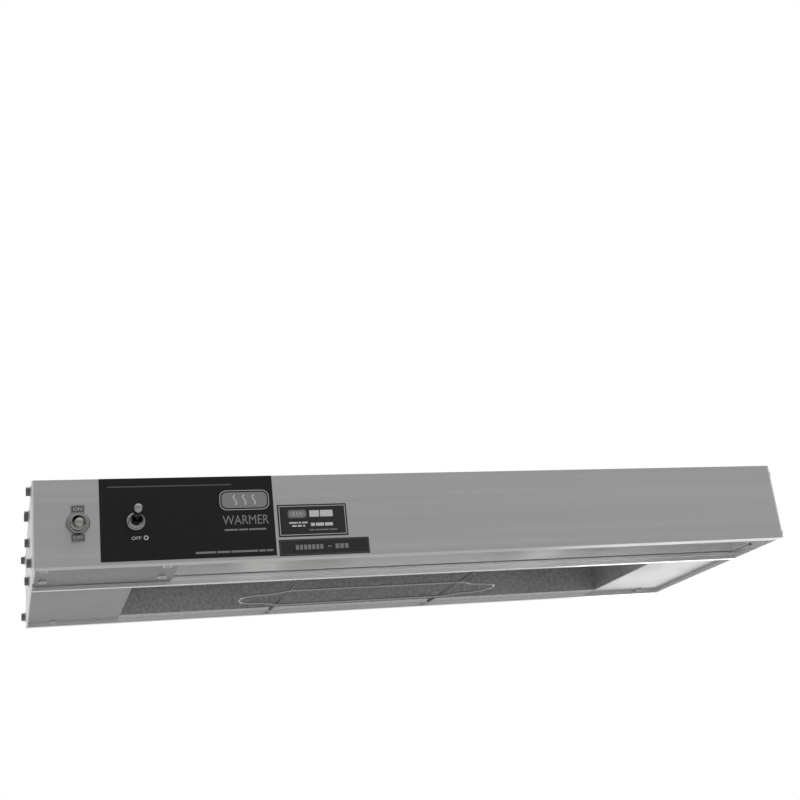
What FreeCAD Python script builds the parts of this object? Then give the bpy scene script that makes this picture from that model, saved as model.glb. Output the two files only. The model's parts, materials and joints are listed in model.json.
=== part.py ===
import FreeCAD, Part
import math
import os
import re

import Sketcher
from FreeCAD import Placement, Rotation, Vector

# Infrared strip food warmer with a lamp and switch box along its front.
# Millimetres. X runs along the warmer, -Y is the front panel and +Z is up. The origin is the
# centre of the four shelf inserts, on the flat top.

SIZES = {
    # overall
    "length": 609.6,
    "heater_depth": 152.4,
    "light_depth": 76.2,
    "height": 63.5,
    "end_gauge": 1.2,
    # heater housing extrusion
    "wall": 1.6,
    "bead_depth": 4.0,
    "groove_depth": 0.8,
    "groove_low": 2.7,
    "groove_high": 3.9,
    "ledge_level": 4.0,
    "ledge_depth": 9.0,
    "ledge_gauge": 1.4,
    "boss_side": 7.0,
    # shelf inserts
    "insert_spacing": 533.4,
    "insert_row": 48.0,
    "insert_radius": 4.5,
    "insert_bore": 2.5,
    "insert_length": 12.0,
    # heater reflector
    "recess_length": 457.2,
    "mouth_half": 55.5,
    "crown_half": 30.0,
    "shoulder_level": 30.0,
    "crown_level": 52.0,
    "bright_gauge": 0.8,
    "fit_gap": 0.3,
    # heating element
    "element_radius": 5.5,
    "element_level": 42.0,
    "element_cold_end": 24.0,
    "pin_radius": 1.5,
    "pin_length": 16.0,
    "bush_radius": 7.5,
    "bush_length": 12.0,
    "hanger_spacing": 150.0,
    "hanger_width": 8.0,
    # wire guard
    "guard_wire": 1.0,
    "guard_middle": -18.0,
    "guard_loop_half": 115.0,
    "guard_pitch": 152.0,
    "guard_half": 30.0,
    "guard_shoulder_half": 20.0,
    "guard_end_half": 14.0,
    "guard_corner": 12.0,
    "guard_hook": 65.8,
    # covers
    "cover_gauge": 0.9,
    "cover_screw_inset": 22.4,
    "cover_screw_half": 68.0,
    "control_length": 104.0,
    "control_cover_level": 4.3,
    # light housing
    "skin": 1.2,
    "lip_depth": 9.5,
    "rear_flange": 16.0,
    "knockout_radius": 11.1,
    "knockout_across": 50.0,
    "knockout_back": 50.0,
    "passage_radius": 9.0,
    "passage_level": 34.0,
    # lamp compartment
    "lamp_crown_level": 58.0,
    "lamp_rear_gap": 3.8,
    "lamp_edge_level": 6.7,
    "lamp_level": 33.0,
    "lamp_back": 43.0,
    "lamp_bulb_radius": 23.0,
    "lamp_neck_radius": 13.0,
    "lamp_ball_reach": 40.0,
    "glass_gauge": 0.8,
    "cap_length": 24.0,
    "socket_radius": 18.0,
    "socket_length": 36.0,
    # switches and plates
    "light_switch_across": 31.2,
    "heater_switch_across": 71.6,
    "switch_level": 31.0,
    "switch_case_gap": 3.0,
    "switch_case_depth": 20.0,
    "switch_case_half": 14.0,
    "switch_case_half_width": 8.0,
    "tab_half_width": 3.1,
    "tab_length": 8.0,
    "back_nut": 8.0,
    "back_nut_height": 2.0,
    "heater_ring": 6.6,
    "heater_ring_height": 2.0,
    "light_ring": 7.8,
    "light_ring_height": 2.2,
    "legend_radius": 8.6,
    "legend_gauge": 0.8,
    "legend_half": 5.0,
    "legend_reach": 13.3,
    "thread_radius": 5.5,
    "thread_reach": 6.5,
    "lever_pivot": 2.0,
    "lever_length": 19.0,
    "lever_throw": 14.0,
    "lever_ball": 2.9,
    "lever_tip": 3.6,
    "plate_left": 46.3,
    "plate_right": 173.0,
    "plate_low": 2.2,
    "plate_gauge": 0.5,
    "label_gauge": 0.3,
    "service_label_left": 175.5,
    "service_label_right": 229.0,
    "service_label_low": 15.7,
    "service_label_high": 40.5,
    "lower_label_left": 175.0,
    "lower_label_right": 244.5,
    "lower_label_low": 1.3,
    "lower_label_high": 13.8,
    # fasteners
    "screw_radius": 1.6,
    "screw_head": 3.3,
    "screw_head_height": 2.0,
    "end_washer": 4.2,
    "end_washer_gauge": 0.8,
    "end_hex": 3.3,
    "end_hex_height": 3.0,
    # leads
    "lead_radius": 1.3,
    "lead_bend": 7.0,
}

# Levels and faces worked out from the table.
DERIVED = {
    "front": "(0 - (light_depth + heater_depth) / 2)",
    "joint": "(front + light_depth)",
    "rear": "(front + light_depth + heater_depth)",
    "middle": "(joint + heater_depth / 2)",
    "floor": "(0 - height)",
    "left": "(0 - length / 2)",
    "right": "(length / 2)",
    "inner_length": "(length - 2 * end_gauge)",
    "flange_half": "(heater_depth / 2 - bead_depth - fit_gap)",
    "recess_half": "(recess_length / 2)",
    "boss_centre": "(wall + boss_side / 2)",
    "boss_low_top": "(ledge_level + ledge_gauge + boss_side)",
    "guard_level": "(ledge_level - bright_gauge - guard_wire - 0.1)",
    "switch_z": "(floor + switch_level)",
    "case_front": "(front + skin + switch_case_gap)",
    "case_back": "(case_front + switch_case_depth)",
    "bulkhead": "(left + control_length)",
    "lamp_y": "(front + lamp_back)",
    "lamp_z": "(floor + lamp_level)",
    "lamp_left_x": "(left + 200)",
    "lamp_right_x": "(left + 450)",
    "element_z": "(floor + element_level)",
    "lead_level": "(floor + lamp_crown_level + bright_gauge + lead_radius + 0.3)",
    "rivet_level": "(0 - wall - boss_side - 4)",
}

ALONG = Rotation(Vector(0, 1, 0), 90)      # a cylinder's axis laid along +X
BACK_ALONG = Rotation(Vector(0, 1, 0), -90)
FORWARD = Rotation(Vector(1, 0, 0), 90)    # laid along -Y, out of the front panel
BACKWARD = Rotation(Vector(1, 0, 0), -90)
UPRIGHT = Rotation()
DOWNWARD = Rotation(Vector(1, 0, 0), 180)

WORD = re.compile(r"[a-z][a-z_0-9]*")

doc = FreeCAD.newDocument("strip_warmer")
sheet = doc.addObject("Spreadsheet::Sheet", "sizes")
for row, (alias, value) in enumerate(SIZES.items(), start=1):
    sheet.set(f"A{row}", alias)
    sheet.set(f"B{row}", str(value))
    sheet.setAlias(f"B{row}", alias)
doc.recompute()

NODES = []


# ---- expressions ------------------------------------------------------------------------------

def formula(text):
    """Write a formula in the table's words as a spreadsheet expression."""

    def reference(match):
        word = match.group()
        if word in DERIVED:
            return formula(DERIVED[word])
        if word in SIZES:
            return "sizes." + word
        return word

    return WORD.sub(reference, str(text))


def number(text):
    """The present value of a formula."""
    return float(sheet.evalExpression(formula(text)))


def bind(thing, **formulas):
    """Bind properties to formulas."""
    for name, text in formulas.items():
        thing.setExpression(name, formula(text))
    return thing


def place(thing, x, y, z, turn=UPRIGHT):
    """Turn a thing about its origin and bind the origin's place."""
    thing.Placement = Placement(Vector(), turn)
    for letter, text in zip("xyz", (x, y, z)):
        thing.setExpression(f"Placement.Base.{letter}", formula(text))
    return thing


# ---- solids -----------------------------------------------------------------------------------

def block(name, x, y, z):
    """A box between two formulas along each axis."""
    thing = doc.addObject("Part::Box", name)
    bind(thing, Length=f"({x[1]}) - ({x[0]})", Width=f"({y[1]}) - ({y[0]})", Height=f"({z[1]}) - ({z[0]})")
    return place(thing, x[0], y[0], z[0])


def rod(name, x, y, z, turn, radius, length):
    """A cylinder from a point, along the way it is turned."""
    thing = doc.addObject("Part::Cylinder", name)
    bind(thing, Radius=radius, Height=length)
    return place(thing, x, y, z, turn)


def taper(name, x, y, z, turn, radius_start, radius_end, length):
    """A cone from a point, along the way it is turned."""
    thing = doc.addObject("Part::Cone", name)
    bind(thing, Radius1=radius_start, Radius2=radius_end, Height=length)
    return place(thing, x, y, z, turn)


def ball(name, x, y, z, radius):
    """A sphere about a point."""
    thing = doc.addObject("Part::Sphere", name)
    bind(thing, Radius=radius)
    return place(thing, x, y, z)


def hexagon(name, x, y, z, turn, across, length):
    """A hexagonal bar from a point, its size the radius to a corner."""
    thing = doc.addObject("Part::Prism", name)
    thing.Polygon = 6
    bind(thing, Circumradius=across, Height=length)
    return place(thing, x, y, z, turn)


def fuse(name, things):
    """Join solids into one."""
    thing = doc.addObject("Part::MultiFuse", name)
    thing.Shapes = things
    thing.Refine = True
    return thing


def group(name, things):
    """Keep solids together without joining them."""
    thing = doc.addObject("Part::Compound", name)
    thing.Links = things
    return thing


def cut(name, base, tools):
    """Take tools away from a solid."""
    thing = doc.addObject("Part::Cut", name)
    thing.Base = base
    thing.Tool = tools[0] if len(tools) == 1 else group(name + "_tools", tools)
    thing.Refine = True
    return thing


def node(thing, label):
    """Name a finished piece, so that it is written out."""
    thing.Label = label
    NODES.append(thing)
    return thing


def section_body(name, corners, start, length):
    """A body padded along +X from a closed outline of (y, z) formulas."""
    body = doc.addObject("PartDesign::Body", name)
    plane = next(f for f in body.Origin.OriginFeatures if f.Role == "YZ_Plane")
    sketch = body.newObject("Sketcher::SketchObject", name + "_section")
    sketch.AttachmentSupport = (plane, [""])
    sketch.MapMode = "FlatFace"
    values = [(number(y), number(z)) for y, z in corners]
    count = len(corners)
    for index, (y, z) in enumerate(values):
        y_next, z_next = values[(index + 1) % count]
        sketch.addGeometry(Part.LineSegment(Vector(y, z, 0), Vector(y_next, z_next, 0)), False)
    for index in range(count):
        sketch.addConstraint(Sketcher.Constraint("Coincident", index, 2, (index + 1) % count, 1))
    for index, (texts, point) in enumerate(zip(corners, values)):
        for kind, axis, text, value in zip(("DistanceX", "DistanceY"), (-2, -1), texts, point):
            if abs(value) < 1e-9:
                sketch.addConstraint(Sketcher.Constraint("PointOnObject", index, 1, axis))
                continue
            made = sketch.addConstraint(Sketcher.Constraint(kind, -1, 1, index, 1, value))
            sketch.setExpression(f"Constraints[{made}]", formula(text))
    pad = body.newObject("PartDesign::Pad", name + "_pad")
    pad.Profile = sketch
    bind(pad, Length=length)
    body.Tip = pad
    return place(body, start, "0", "0")


def bent_wire(name, points, radius, bend):
    """A round wire along straight runs joined by tangent arcs, through (x, y, z) formulas."""
    corners = [Vector(*(number(c) for c in point)) for point in points]
    wire_radius = number(radius)
    edges = []
    start = corners[0]
    for before, corner, after in zip(corners, corners[1:], corners[2:]):
        arriving = (corner - before).normalize()
        leaving = (after - corner).normalize()
        half_turn = arriving.getAngle(leaving) / 2
        room = 0.45 * min(before.distanceToPoint(corner), corner.distanceToPoint(after))
        setback = min(bend * math.tan(half_turn), room)
        arc_radius = setback / math.tan(half_turn)
        arc_start = corner - arriving * setback
        arc_end = corner + leaving * setback
        inward = (leaving - arriving).normalize()
        crest = corner + inward * (arc_radius / math.cos(half_turn) - arc_radius)
        edges.append(Part.LineSegment(start, arc_start).toShape())
        edges.append(Part.Arc(arc_start, crest, arc_end).toShape())
        start = arc_end
    edges.append(Part.LineSegment(start, corners[-1]).toShape())
    path = Part.Wire(edges)
    first = (corners[1] - corners[0]).normalize()
    ring = Part.Wire([Part.makeCircle(wire_radius, corners[0], first)])
    shape = path.makePipeShell([ring], True, False)
    thing = doc.addObject("Part::Feature", name)
    thing.Shape = shape
    return thing


def pan_screw(name, x, y, z, turn, length):
    """A pan head screw whose head's underside is at the point, with the head along the turn."""
    head = rod(name + "_head", x, y, z, turn, "screw_head", "screw_head_height")
    back = turn.multiply(DOWNWARD)
    shank = rod(name + "_shank", x, y, z, back, "screw_radius", length)
    return fuse(name, [head, shank])


def end_screw(name, y, z, face, turn, length):
    """A hexagonal washer head screw whose washer lies on an end plate's outer face."""
    washer = rod(name + "_washer", face, y, z, turn, "end_washer", "end_washer_gauge")
    head = hexagon(name + "_head", face, y, z, turn, "end_hex", "end_washer_gauge + end_hex_height")
    shank = rod(name + "_shank", face, y, z, turn.multiply(DOWNWARD), "screw_radius", length)
    return fuse(name, [washer, head, shank])


# ---- heater section ---------------------------------------------------------------------------

def heater_section():
    """Half of the heater housing's outline, from its bottom edge up; the other half mirrors it."""
    return [
        ("0", "0"), ("0", "groove_low"), ("groove_depth", "groove_low"), ("groove_depth", "groove_high"),
        ("0", "groove_high"), ("0", "height"),
    ], [
        ("wall + boss_side", "height - wall"), ("wall + boss_side", "height - wall - boss_side"),
        ("wall", "height - wall - boss_side"), ("wall", "boss_low_top"),
        ("wall + boss_side", "boss_low_top"), ("wall + boss_side", "ledge_level + ledge_gauge"),
        ("bead_depth + ledge_depth", "ledge_level + ledge_gauge"),
        ("bead_depth + ledge_depth", "ledge_level"), ("bead_depth", "ledge_level"), ("bead_depth", "0"),
    ]


def make_heater_housing():
    """An extruded channel, open below, with screw bosses, a ledge and a grooved bead on each side."""
    outer, inner = heater_section()
    near = [(f"joint + {y}", f"floor + {z}") for y, z in outer]
    far = [(f"rear - ({y})", f"floor + {z}") for y, z in reversed(outer)]
    far_inner = [(f"rear - ({y})", f"floor + {z}") for y, z in reversed(inner)]
    near_inner = [(f"joint + {y}", f"floor + {z}") for y, z in inner]
    blank = section_body("heater_channel", near + far + far_inner + near_inner, "left + end_gauge",
                         "inner_length")
    tools = []
    for side, edge, turn in (("left", "left", ALONG), ("right", "right", BACK_ALONG)):
        for index, (y, z) in enumerate(end_screw_places("heater")):
            tools.append(rod(f"boss_bore_{side}_{index}", edge, y, z, turn, "screw_radius", "18"))
    for index, (x, y) in enumerate(insert_places()):
        tools.append(rod(f"insert_hole_{index}", x, y, "0 - 2 * wall", UPRIGHT, "insert_radius", "3 * wall"))
    for index, (x, y) in enumerate(guard_hook_places()):
        tools.append(rod(f"hook_hole_{index}", x, y, "floor + 3", UPRIGHT, "guard_wire + 0.3", "4"))
    for index, (x, y) in enumerate(cover_screw_places()):
        tools.append(rod(f"cover_hole_{index}", x, y, "floor + 3", UPRIGHT, "screw_radius", "6"))
    for index, x in enumerate(rivet_places()):
        tools.append(rod(f"rivet_hole_{index}", x, "joint - 1", "rivet_level", BACKWARD, "screw_radius", "4"))
    tools.append(rod("passage", "left + 52", "joint - 1", "floor + passage_level", BACKWARD,
                     "passage_radius", "4"))
    node(cut("heater_housing_body", blank, tools), "heater_housing")


def insert_places():
    """Centres of the four shelf inserts."""
    return [(f"{sx} insert_spacing / 2", f"{sy} insert_row / 2")
            for sx in ("0 -", "0 +") for sy in ("0 -", "0 +")]


def guard_hook_places():
    """Where the guard's cross wires turn up through the ledges."""
    return [(f"guard_middle {sx} guard_pitch / 2", f"middle {sy} guard_hook")
            for sx in "-+" for sy in "-+"]


def cover_screw_places():
    """Centres of the terminal covers' screws."""
    return [(f"{edge} cover_screw_inset", f"middle {sy} cover_screw_half")
            for edge in ("left +", "right -") for sy in "-+"]


def end_screw_places(section):
    """Axes of the end plate screws of the heater section or the light section, as (y, z)."""
    if section == "heater":
        return [(y, z) for y in ("joint + boss_centre", "rear - boss_centre")
                for z in ("floor + ledge_level + ledge_gauge + boss_side / 2", "0 - boss_centre")]
    return [("front + 7.5", "floor + 5.5"), ("front + 7.5", "0 - 6"), ("joint - 8", "0 - 7"),
            ("joint - 8", "floor + 35")]


def rivet_places():
    """Places along the seam between the light housing and the heater housing."""
    return [f"{count} * length / 6" for count in (-2.6, -1, 1, 2.6)]


def make_heater_ends():
    """A flat plate closes each end of the heater channel."""
    for side, start in (("left", "left"), ("right", "right - end_gauge")):
        blank = block(f"heater_end_{side}_blank", (start, f"{start} + end_gauge"), ("joint", "rear"),
                      ("floor", "0"))
        holes = [rod(f"heater_end_{side}_hole_{index}", f"{start} - 1", y, z, ALONG, "screw_radius + 0.3",
                     "end_gauge + 2") for index, (y, z) in enumerate(end_screw_places("heater"))]
        node(cut(f"heater_end_{side}_body", blank, holes), f"heater_end_{side}")


def make_heater_reflector():
    """A bright trough: flanges under the ledges, upright sides and a sloped crown."""
    inner = [("flange_half", "ledge_level - bright_gauge"), ("mouth_half", "ledge_level - bright_gauge"),
             ("mouth_half", "shoulder_level"), ("crown_half", "crown_level")]
    outer = [("crown_half + 0.4 * bright_gauge", "crown_level + bright_gauge"),
             ("mouth_half + bright_gauge", "shoulder_level + 0.4 * bright_gauge"),
             ("mouth_half + bright_gauge", "ledge_level"), ("flange_half", "ledge_level")]
    corners = [(f"middle - ({y})", f"floor + {z}") for y, z in inner]
    corners += [(f"middle + {y}", f"floor + {z}") for y, z in reversed(inner)]
    corners += [(f"middle + {y}", f"floor + {z}") for y, z in reversed(outer)]
    corners += [(f"middle - ({y})", f"floor + {z}") for y, z in outer]
    blank = section_body("reflector_trough", corners, "0 - recess_half", "recess_length")
    holes = [rod(f"reflector_hook_hole_{index}", x, y, "floor + 2", UPRIGHT, "guard_wire + 0.3", "3")
             for index, (x, y) in enumerate(guard_hook_places())]
    node(cut("heater_reflector_body", blank, holes), "heater_reflector")
    for side, start in (("left", "0 - recess_half"), ("right", "recess_half - bright_gauge")):
        half = [("mouth_half", "ledge_level - bright_gauge"), ("mouth_half", "shoulder_level"),
                ("crown_half", "crown_level")]
        edge = [(f"middle - {y}", f"floor + {z}") for y, z in half]
        edge += [(f"middle + {y}", f"floor + {z}") for y, z in reversed(half)]
        plate = section_body(f"reflector_end_{side}_plate", edge, start, "bright_gauge")
        hole = rod(f"reflector_end_{side}_hole", f"{start} - 1", "middle", "element_z", ALONG, "bush_radius",
                   "bright_gauge + 2")
        node(cut(f"reflector_end_{side}_body", plate, [hole]), f"reflector_end_{side}")


def make_element():
    """A sheathed tubular element with its pins, ceramic bushes, nuts and three hangers."""
    sheath = rod("sheath", "0 - recess_half - element_cold_end", "middle", "element_z", ALONG,
                 "element_radius", "recess_length + 2 * element_cold_end")
    node(sheath, "heating_element")
    pins, bushes, nuts = [], [], []
    for side, end, turn in (("left", "0 - recess_half", BACK_ALONG), ("right", "recess_half", ALONG)):
        out = "-" if side == "left" else "+"
        tip = f"{end} {out} element_cold_end"
        pins.append(rod(f"pin_{side}", tip, "middle", "element_z", turn, "pin_radius", "pin_length"))
        bush = rod(f"bush_{side}", f"{end} {out} (0 - 2)", "middle", "element_z", turn, "bush_radius",
                   "bush_length")
        bore = rod(f"bush_bore_{side}", f"{end} {out} (0 - 3)", "middle", "element_z", turn,
                   "element_radius", "bush_length + 2")
        bushes.append(cut(f"bush_{side}_body", bush, [bore]))
        nut = hexagon(f"nut_{side}", f"{tip} {out} 5", "middle", "element_z", turn, "4.6", "3")
        nut_bore = rod(f"nut_bore_{side}", f"{tip} {out} 4", "middle", "element_z", turn, "pin_radius", "5")
        nuts.append(cut(f"nut_{side}_body", nut, [nut_bore]))
    node(group("element_pins_group", pins), "element_pins")
    node(group("element_bushes_group", bushes), "element_bushes")
    node(group("element_nuts_group", nuts), "element_nuts")
    hangers = []
    for index, x in enumerate(("0 - hanger_spacing", "0", "hanger_spacing")):
        width = (f"{x} - hanger_width / 2", f"{x} + hanger_width / 2")
        strap = block(f"strap_{index}", width, ("middle - element_radius - 1.6", "middle + element_radius + 1.6"),
                      ("element_z - element_radius - bright_gauge", "floor + crown_level"))
        eye = block(f"strap_eye_{index}", (f"{x} - hanger_width", f"{x} + hanger_width"),
                    ("middle - element_radius - 0.8", "middle + element_radius + 0.8"),
                    ("element_z - element_radius", "floor + crown_level - bright_gauge"))
        hangers.append(cut(f"hanger_{index}", strap, [eye]))
    node(group("element_hangers_group", hangers), "element_hangers")


def make_guard():
    """A long wire loop across the mouth, welded under two cross wires that hook through the ledges."""
    loop_z = "floor + guard_level - 2 * guard_wire + 0.2"
    halves = []
    for side, out in (("left", "-"), ("right", "+")):
        bar = f"guard_middle {out} (guard_pitch / 2 + 3)"
        neck = f"guard_middle {out} (guard_pitch / 2 + 11)"
        end = f"guard_middle {out} guard_loop_half"
        points = [("guard_middle", "middle - guard_half", loop_z), (bar, "middle - guard_half", loop_z),
                  (neck, "middle - guard_shoulder_half", loop_z), (end, "middle - guard_end_half", loop_z),
                  (end, "middle + guard_end_half", loop_z), (neck, "middle + guard_shoulder_half", loop_z),
                  (bar, "middle + guard_half", loop_z), ("guard_middle", "middle + guard_half", loop_z)]
        halves.append(bent_wire(f"guard_loop_{side}", points, "guard_wire", number("guard_corner")))
    bars = []
    for side, out in (("left", "-"), ("right", "+")):
        x = f"guard_middle {out} guard_pitch / 2"
        low = "floor + guard_level"
        points = [(x, "middle - guard_hook", "floor + 9"), (x, "middle - guard_hook", low),
                  (x, "middle + guard_hook", low), (x, "middle + guard_hook", "floor + 9")]
        bars.append(bent_wire(f"guard_bar_{side}", points, "guard_wire", 1.6))
    node(fuse("wire_guard_body", halves + bars), "wire_guard")


def make_terminal_covers():
    """A flat cover under each terminal compartment, with a turned-up edge beside the recess."""
    screws = []
    for side, start, stop, lip in (
            ("left", "left + end_gauge + fit_gap", "0 - recess_half - fit_gap", "0 - recess_half - fit_gap - 1"),
            ("right", "recess_half + fit_gap", "right - end_gauge - fit_gap", "recess_half + fit_gap")):
        plate = block(f"cover_{side}_plate", (start, stop), ("middle - flange_half", "middle + flange_half"),
                      ("floor + ledge_level - cover_gauge", "floor + ledge_level"))
        edge = block(f"cover_{side}_edge", (lip, f"{lip} + 1"), ("middle - 60", "middle + 60"),
                     ("floor + ledge_level - cover_gauge", "floor + 14"))
        blank = fuse(f"cover_{side}_blank", [plate, edge])
        holes = []
        for index, (x, y) in enumerate(cover_screw_places()[:2] if side == "left" else cover_screw_places()[2:]):
            holes.append(rod(f"cover_{side}_hole_{index}", x, y, "floor + 2", UPRIGHT, "screw_radius", "3"))
            screws.append(pan_screw(f"cover_{side}_screw_{index}", x, y, "floor + ledge_level - cover_gauge",
                                    DOWNWARD, "5"))
        node(cut(f"terminal_cover_{side}_body", blank, holes), f"terminal_cover_{side}")
    node(group("terminal_cover_screws_group", screws), "terminal_cover_screws")


def make_shelf_inserts():
    """Four threaded inserts pressed into the flat top, their mouths flush with it."""
    inserts = []
    for index, (x, y) in enumerate(insert_places()):
        barrel = rod(f"insert_{index}_barrel", x, y, "0", DOWNWARD, "insert_radius", "insert_length")
        bore = rod(f"insert_{index}_bore", x, y, "1", DOWNWARD, "insert_bore", "insert_length + 2")
        inserts.append(cut(f"insert_{index}", barrel, [bore]))
    node(group("shelf_inserts_group", inserts), "shelf_inserts")


# ---- light and control section ----------------------------------------------------------------

def make_light_housing():
    """A folded sheet: front panel, top, a lip under the front and a rear flange on the seam."""
    corners = [("front + skin", "floor + skin"), ("front + skin", "0 - skin"), ("joint - skin", "0 - skin"),
               ("joint - skin", "0 - rear_flange"), ("joint", "0 - rear_flange"), ("joint", "0"),
               ("front", "0"), ("front", "floor"), ("front + lip_depth", "floor"),
               ("front + lip_depth", "floor + skin")]
    shell = section_body("light_shell", corners, "left + end_gauge", "inner_length")
    tabs = []
    tools = []
    for side, start, turn in (("left", "left + end_gauge", ALONG), ("right", "right - end_gauge - skin", ALONG)):
        spots = end_screw_places("light")
        spans = [(("front + skin", "front + 14"), ("floor + skin", "floor + 12")),
                 (("front + skin", "front + 14"), ("0 - 13", "0 - skin")),
                 (("joint - 14", "joint - skin"), ("0 - 13", "0 - skin")),
                 (("joint - 14", "joint"), ("floor + 29", "floor + 41"))]
        for index, ((y, z), (y_span, z_span)) in enumerate(zip(spots, spans)):
            tabs.append(block(f"tab_{side}_{index}", (start, f"{start} + skin"), y_span, z_span))
            tools.append(rod(f"tab_hole_{side}_{index}", f"{start} - 1", y, z, turn, "screw_radius",
                             "skin + 2"))
    blank = fuse("light_shell_tabbed", [shell] + tabs)
    for name, x in (("light", "left + light_switch_across"), ("heater", "left + heater_switch_across")):
        tools.append(rod(f"{name}_switch_hole", x, "front - 1", "switch_z", BACKWARD, "thread_radius", "skin + 2"))
    tools.append(rod("knockout", "left + knockout_across", "front + knockout_back", "0 - 2 * skin", UPRIGHT,
                     "knockout_radius", "3 * skin"))
    for index, x in enumerate(rivet_places()):
        tools.append(rod(f"flange_hole_{index}", x, "joint - skin - 1", "rivet_level", BACKWARD, "screw_radius",
                         "skin + 2"))
    for index, x in enumerate(("lamp_left_x", "lamp_right_x")):
        tools.append(rod(f"bracket_hole_{index}", f"{x} - socket_length - 10", "lamp_y", "0 - 2 * skin", UPRIGHT,
                         "screw_radius", "3 * skin"))
    node(cut("light_housing_body", blank, tools), "light_housing")


def make_light_ends():
    """A plate on each end of the light section; the left one has a flange for the control cover."""
    for side, start in (("left", "left"), ("right", "right - end_gauge")):
        blank = block(f"light_end_{side}_blank", (start, f"{start} + end_gauge"), ("front", "joint"),
                      ("floor", "0"))
        if side == "left":
            flange = block("light_end_flange", (start, f"{start} + 14"), ("front + 16", "joint - 4"),
                           ("floor + control_cover_level", "floor + control_cover_level + skin"))
            blank = fuse("light_end_left_folded", [blank, flange])
        tools = [rod(f"light_end_{side}_hole_{index}", f"{start} - 1", y, z, ALONG, "screw_radius + 0.3",
                     "end_gauge + 2") for index, (y, z) in enumerate(end_screw_places("light"))]
        if side == "left":
            tools += [rod(f"light_end_cover_hole_{index}", "left + 8.3", y, "floor + 3", UPRIGHT, "screw_radius",
                          "4") for index, y in enumerate(("front + 24", "front + 60"))]
        if side == "right":
            tools += [rod(f"light_end_rivet_hole_{index}", f"{start} - 1", y, "floor + 4.8", ALONG, "1.2",
                          "end_gauge + 2") for index, y in enumerate(("front + 25", "front + 48"))]
        node(cut(f"light_end_{side}_body", blank, tools), f"light_end_{side}")
    rivets = []
    for index, y in enumerate(("front + 25", "front + 48")):
        shank = rod(f"end_rivet_{index}_shank", "right - end_gauge", y, "floor + 4.8", ALONG, "1.2", "end_gauge")
        head = rod(f"end_rivet_{index}_head", "right - end_gauge", y, "floor + 4.8", BACK_ALONG, "2.1", "0.9")
        rivets.append(fuse(f"end_rivet_{index}", [shank, head]))
    node(group("light_end_rivets_group", rivets), "light_end_rivets")


def make_lamp_reflector():
    """A bright trough over the lamps, from the front lip round to the heater wall, and its ends."""
    top = "floor + lamp_crown_level"
    back = "joint - lamp_rear_gap"
    outer = [("front + lip_depth", "floor + skin"), ("front + 1.6", "floor + skin"), ("front + 1.6", "floor + 12"),
             ("front + 9.4", f"{top} + bright_gauge"), ("joint - 10", f"{top} + bright_gauge"),
             (f"{back} + bright_gauge", "floor + 50.3"), (f"{back} + bright_gauge", "floor + lamp_edge_level")]
    inner = [(back, "floor + lamp_edge_level"), (back, "floor + 50"), ("joint - 10.4", top),
             ("front + 10", top), ("front + 2.4", "floor + 11.9"),
             ("front + 2.4", "floor + skin + bright_gauge"), ("front + lip_depth", "floor + skin + bright_gauge")]
    blank = section_body("lamp_trough", outer + inner, "bulkhead + 1.5",
                         "right - end_gauge - skin - 0.5 - bulkhead - 1.5")
    tools = []
    for index, (x, aside) in enumerate((("lamp_left_x", "14"), ("lamp_right_x", "18"))):
        tools.append(rod(f"crown_screw_hole_{index}", f"{x} - socket_length - 10", "lamp_y", f"{top} - 1", UPRIGHT,
                         "screw_radius", "3"))
        tools.append(rod(f"crown_lead_hole_{index}", f"{x} - socket_length - 10", f"lamp_y + {aside}",
                         f"{top} - 1", UPRIGHT, "2.2", "3"))
    node(cut("lamp_reflector_body", blank, tools), "lamp_reflector")
    face = [("front + 2.6", "floor + 6.5"), ("front + 2.6", "floor + 11.9"), ("front + 10.2", f"{top} - 0.2"),
            ("joint - 10.6", f"{top} - 0.2"), (f"{back} - 0.2", "floor + 49.8"), (f"{back} - 0.2", "floor + 6.5")]
    for side, start in (("left", "bulkhead + 1.5"), ("right", "right - end_gauge - skin - 0.5 - bright_gauge")):
        plate = section_body(f"lamp_end_{side}_plate", face, start, "bright_gauge")
        node(plate, f"lamp_end_{side}")


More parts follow.
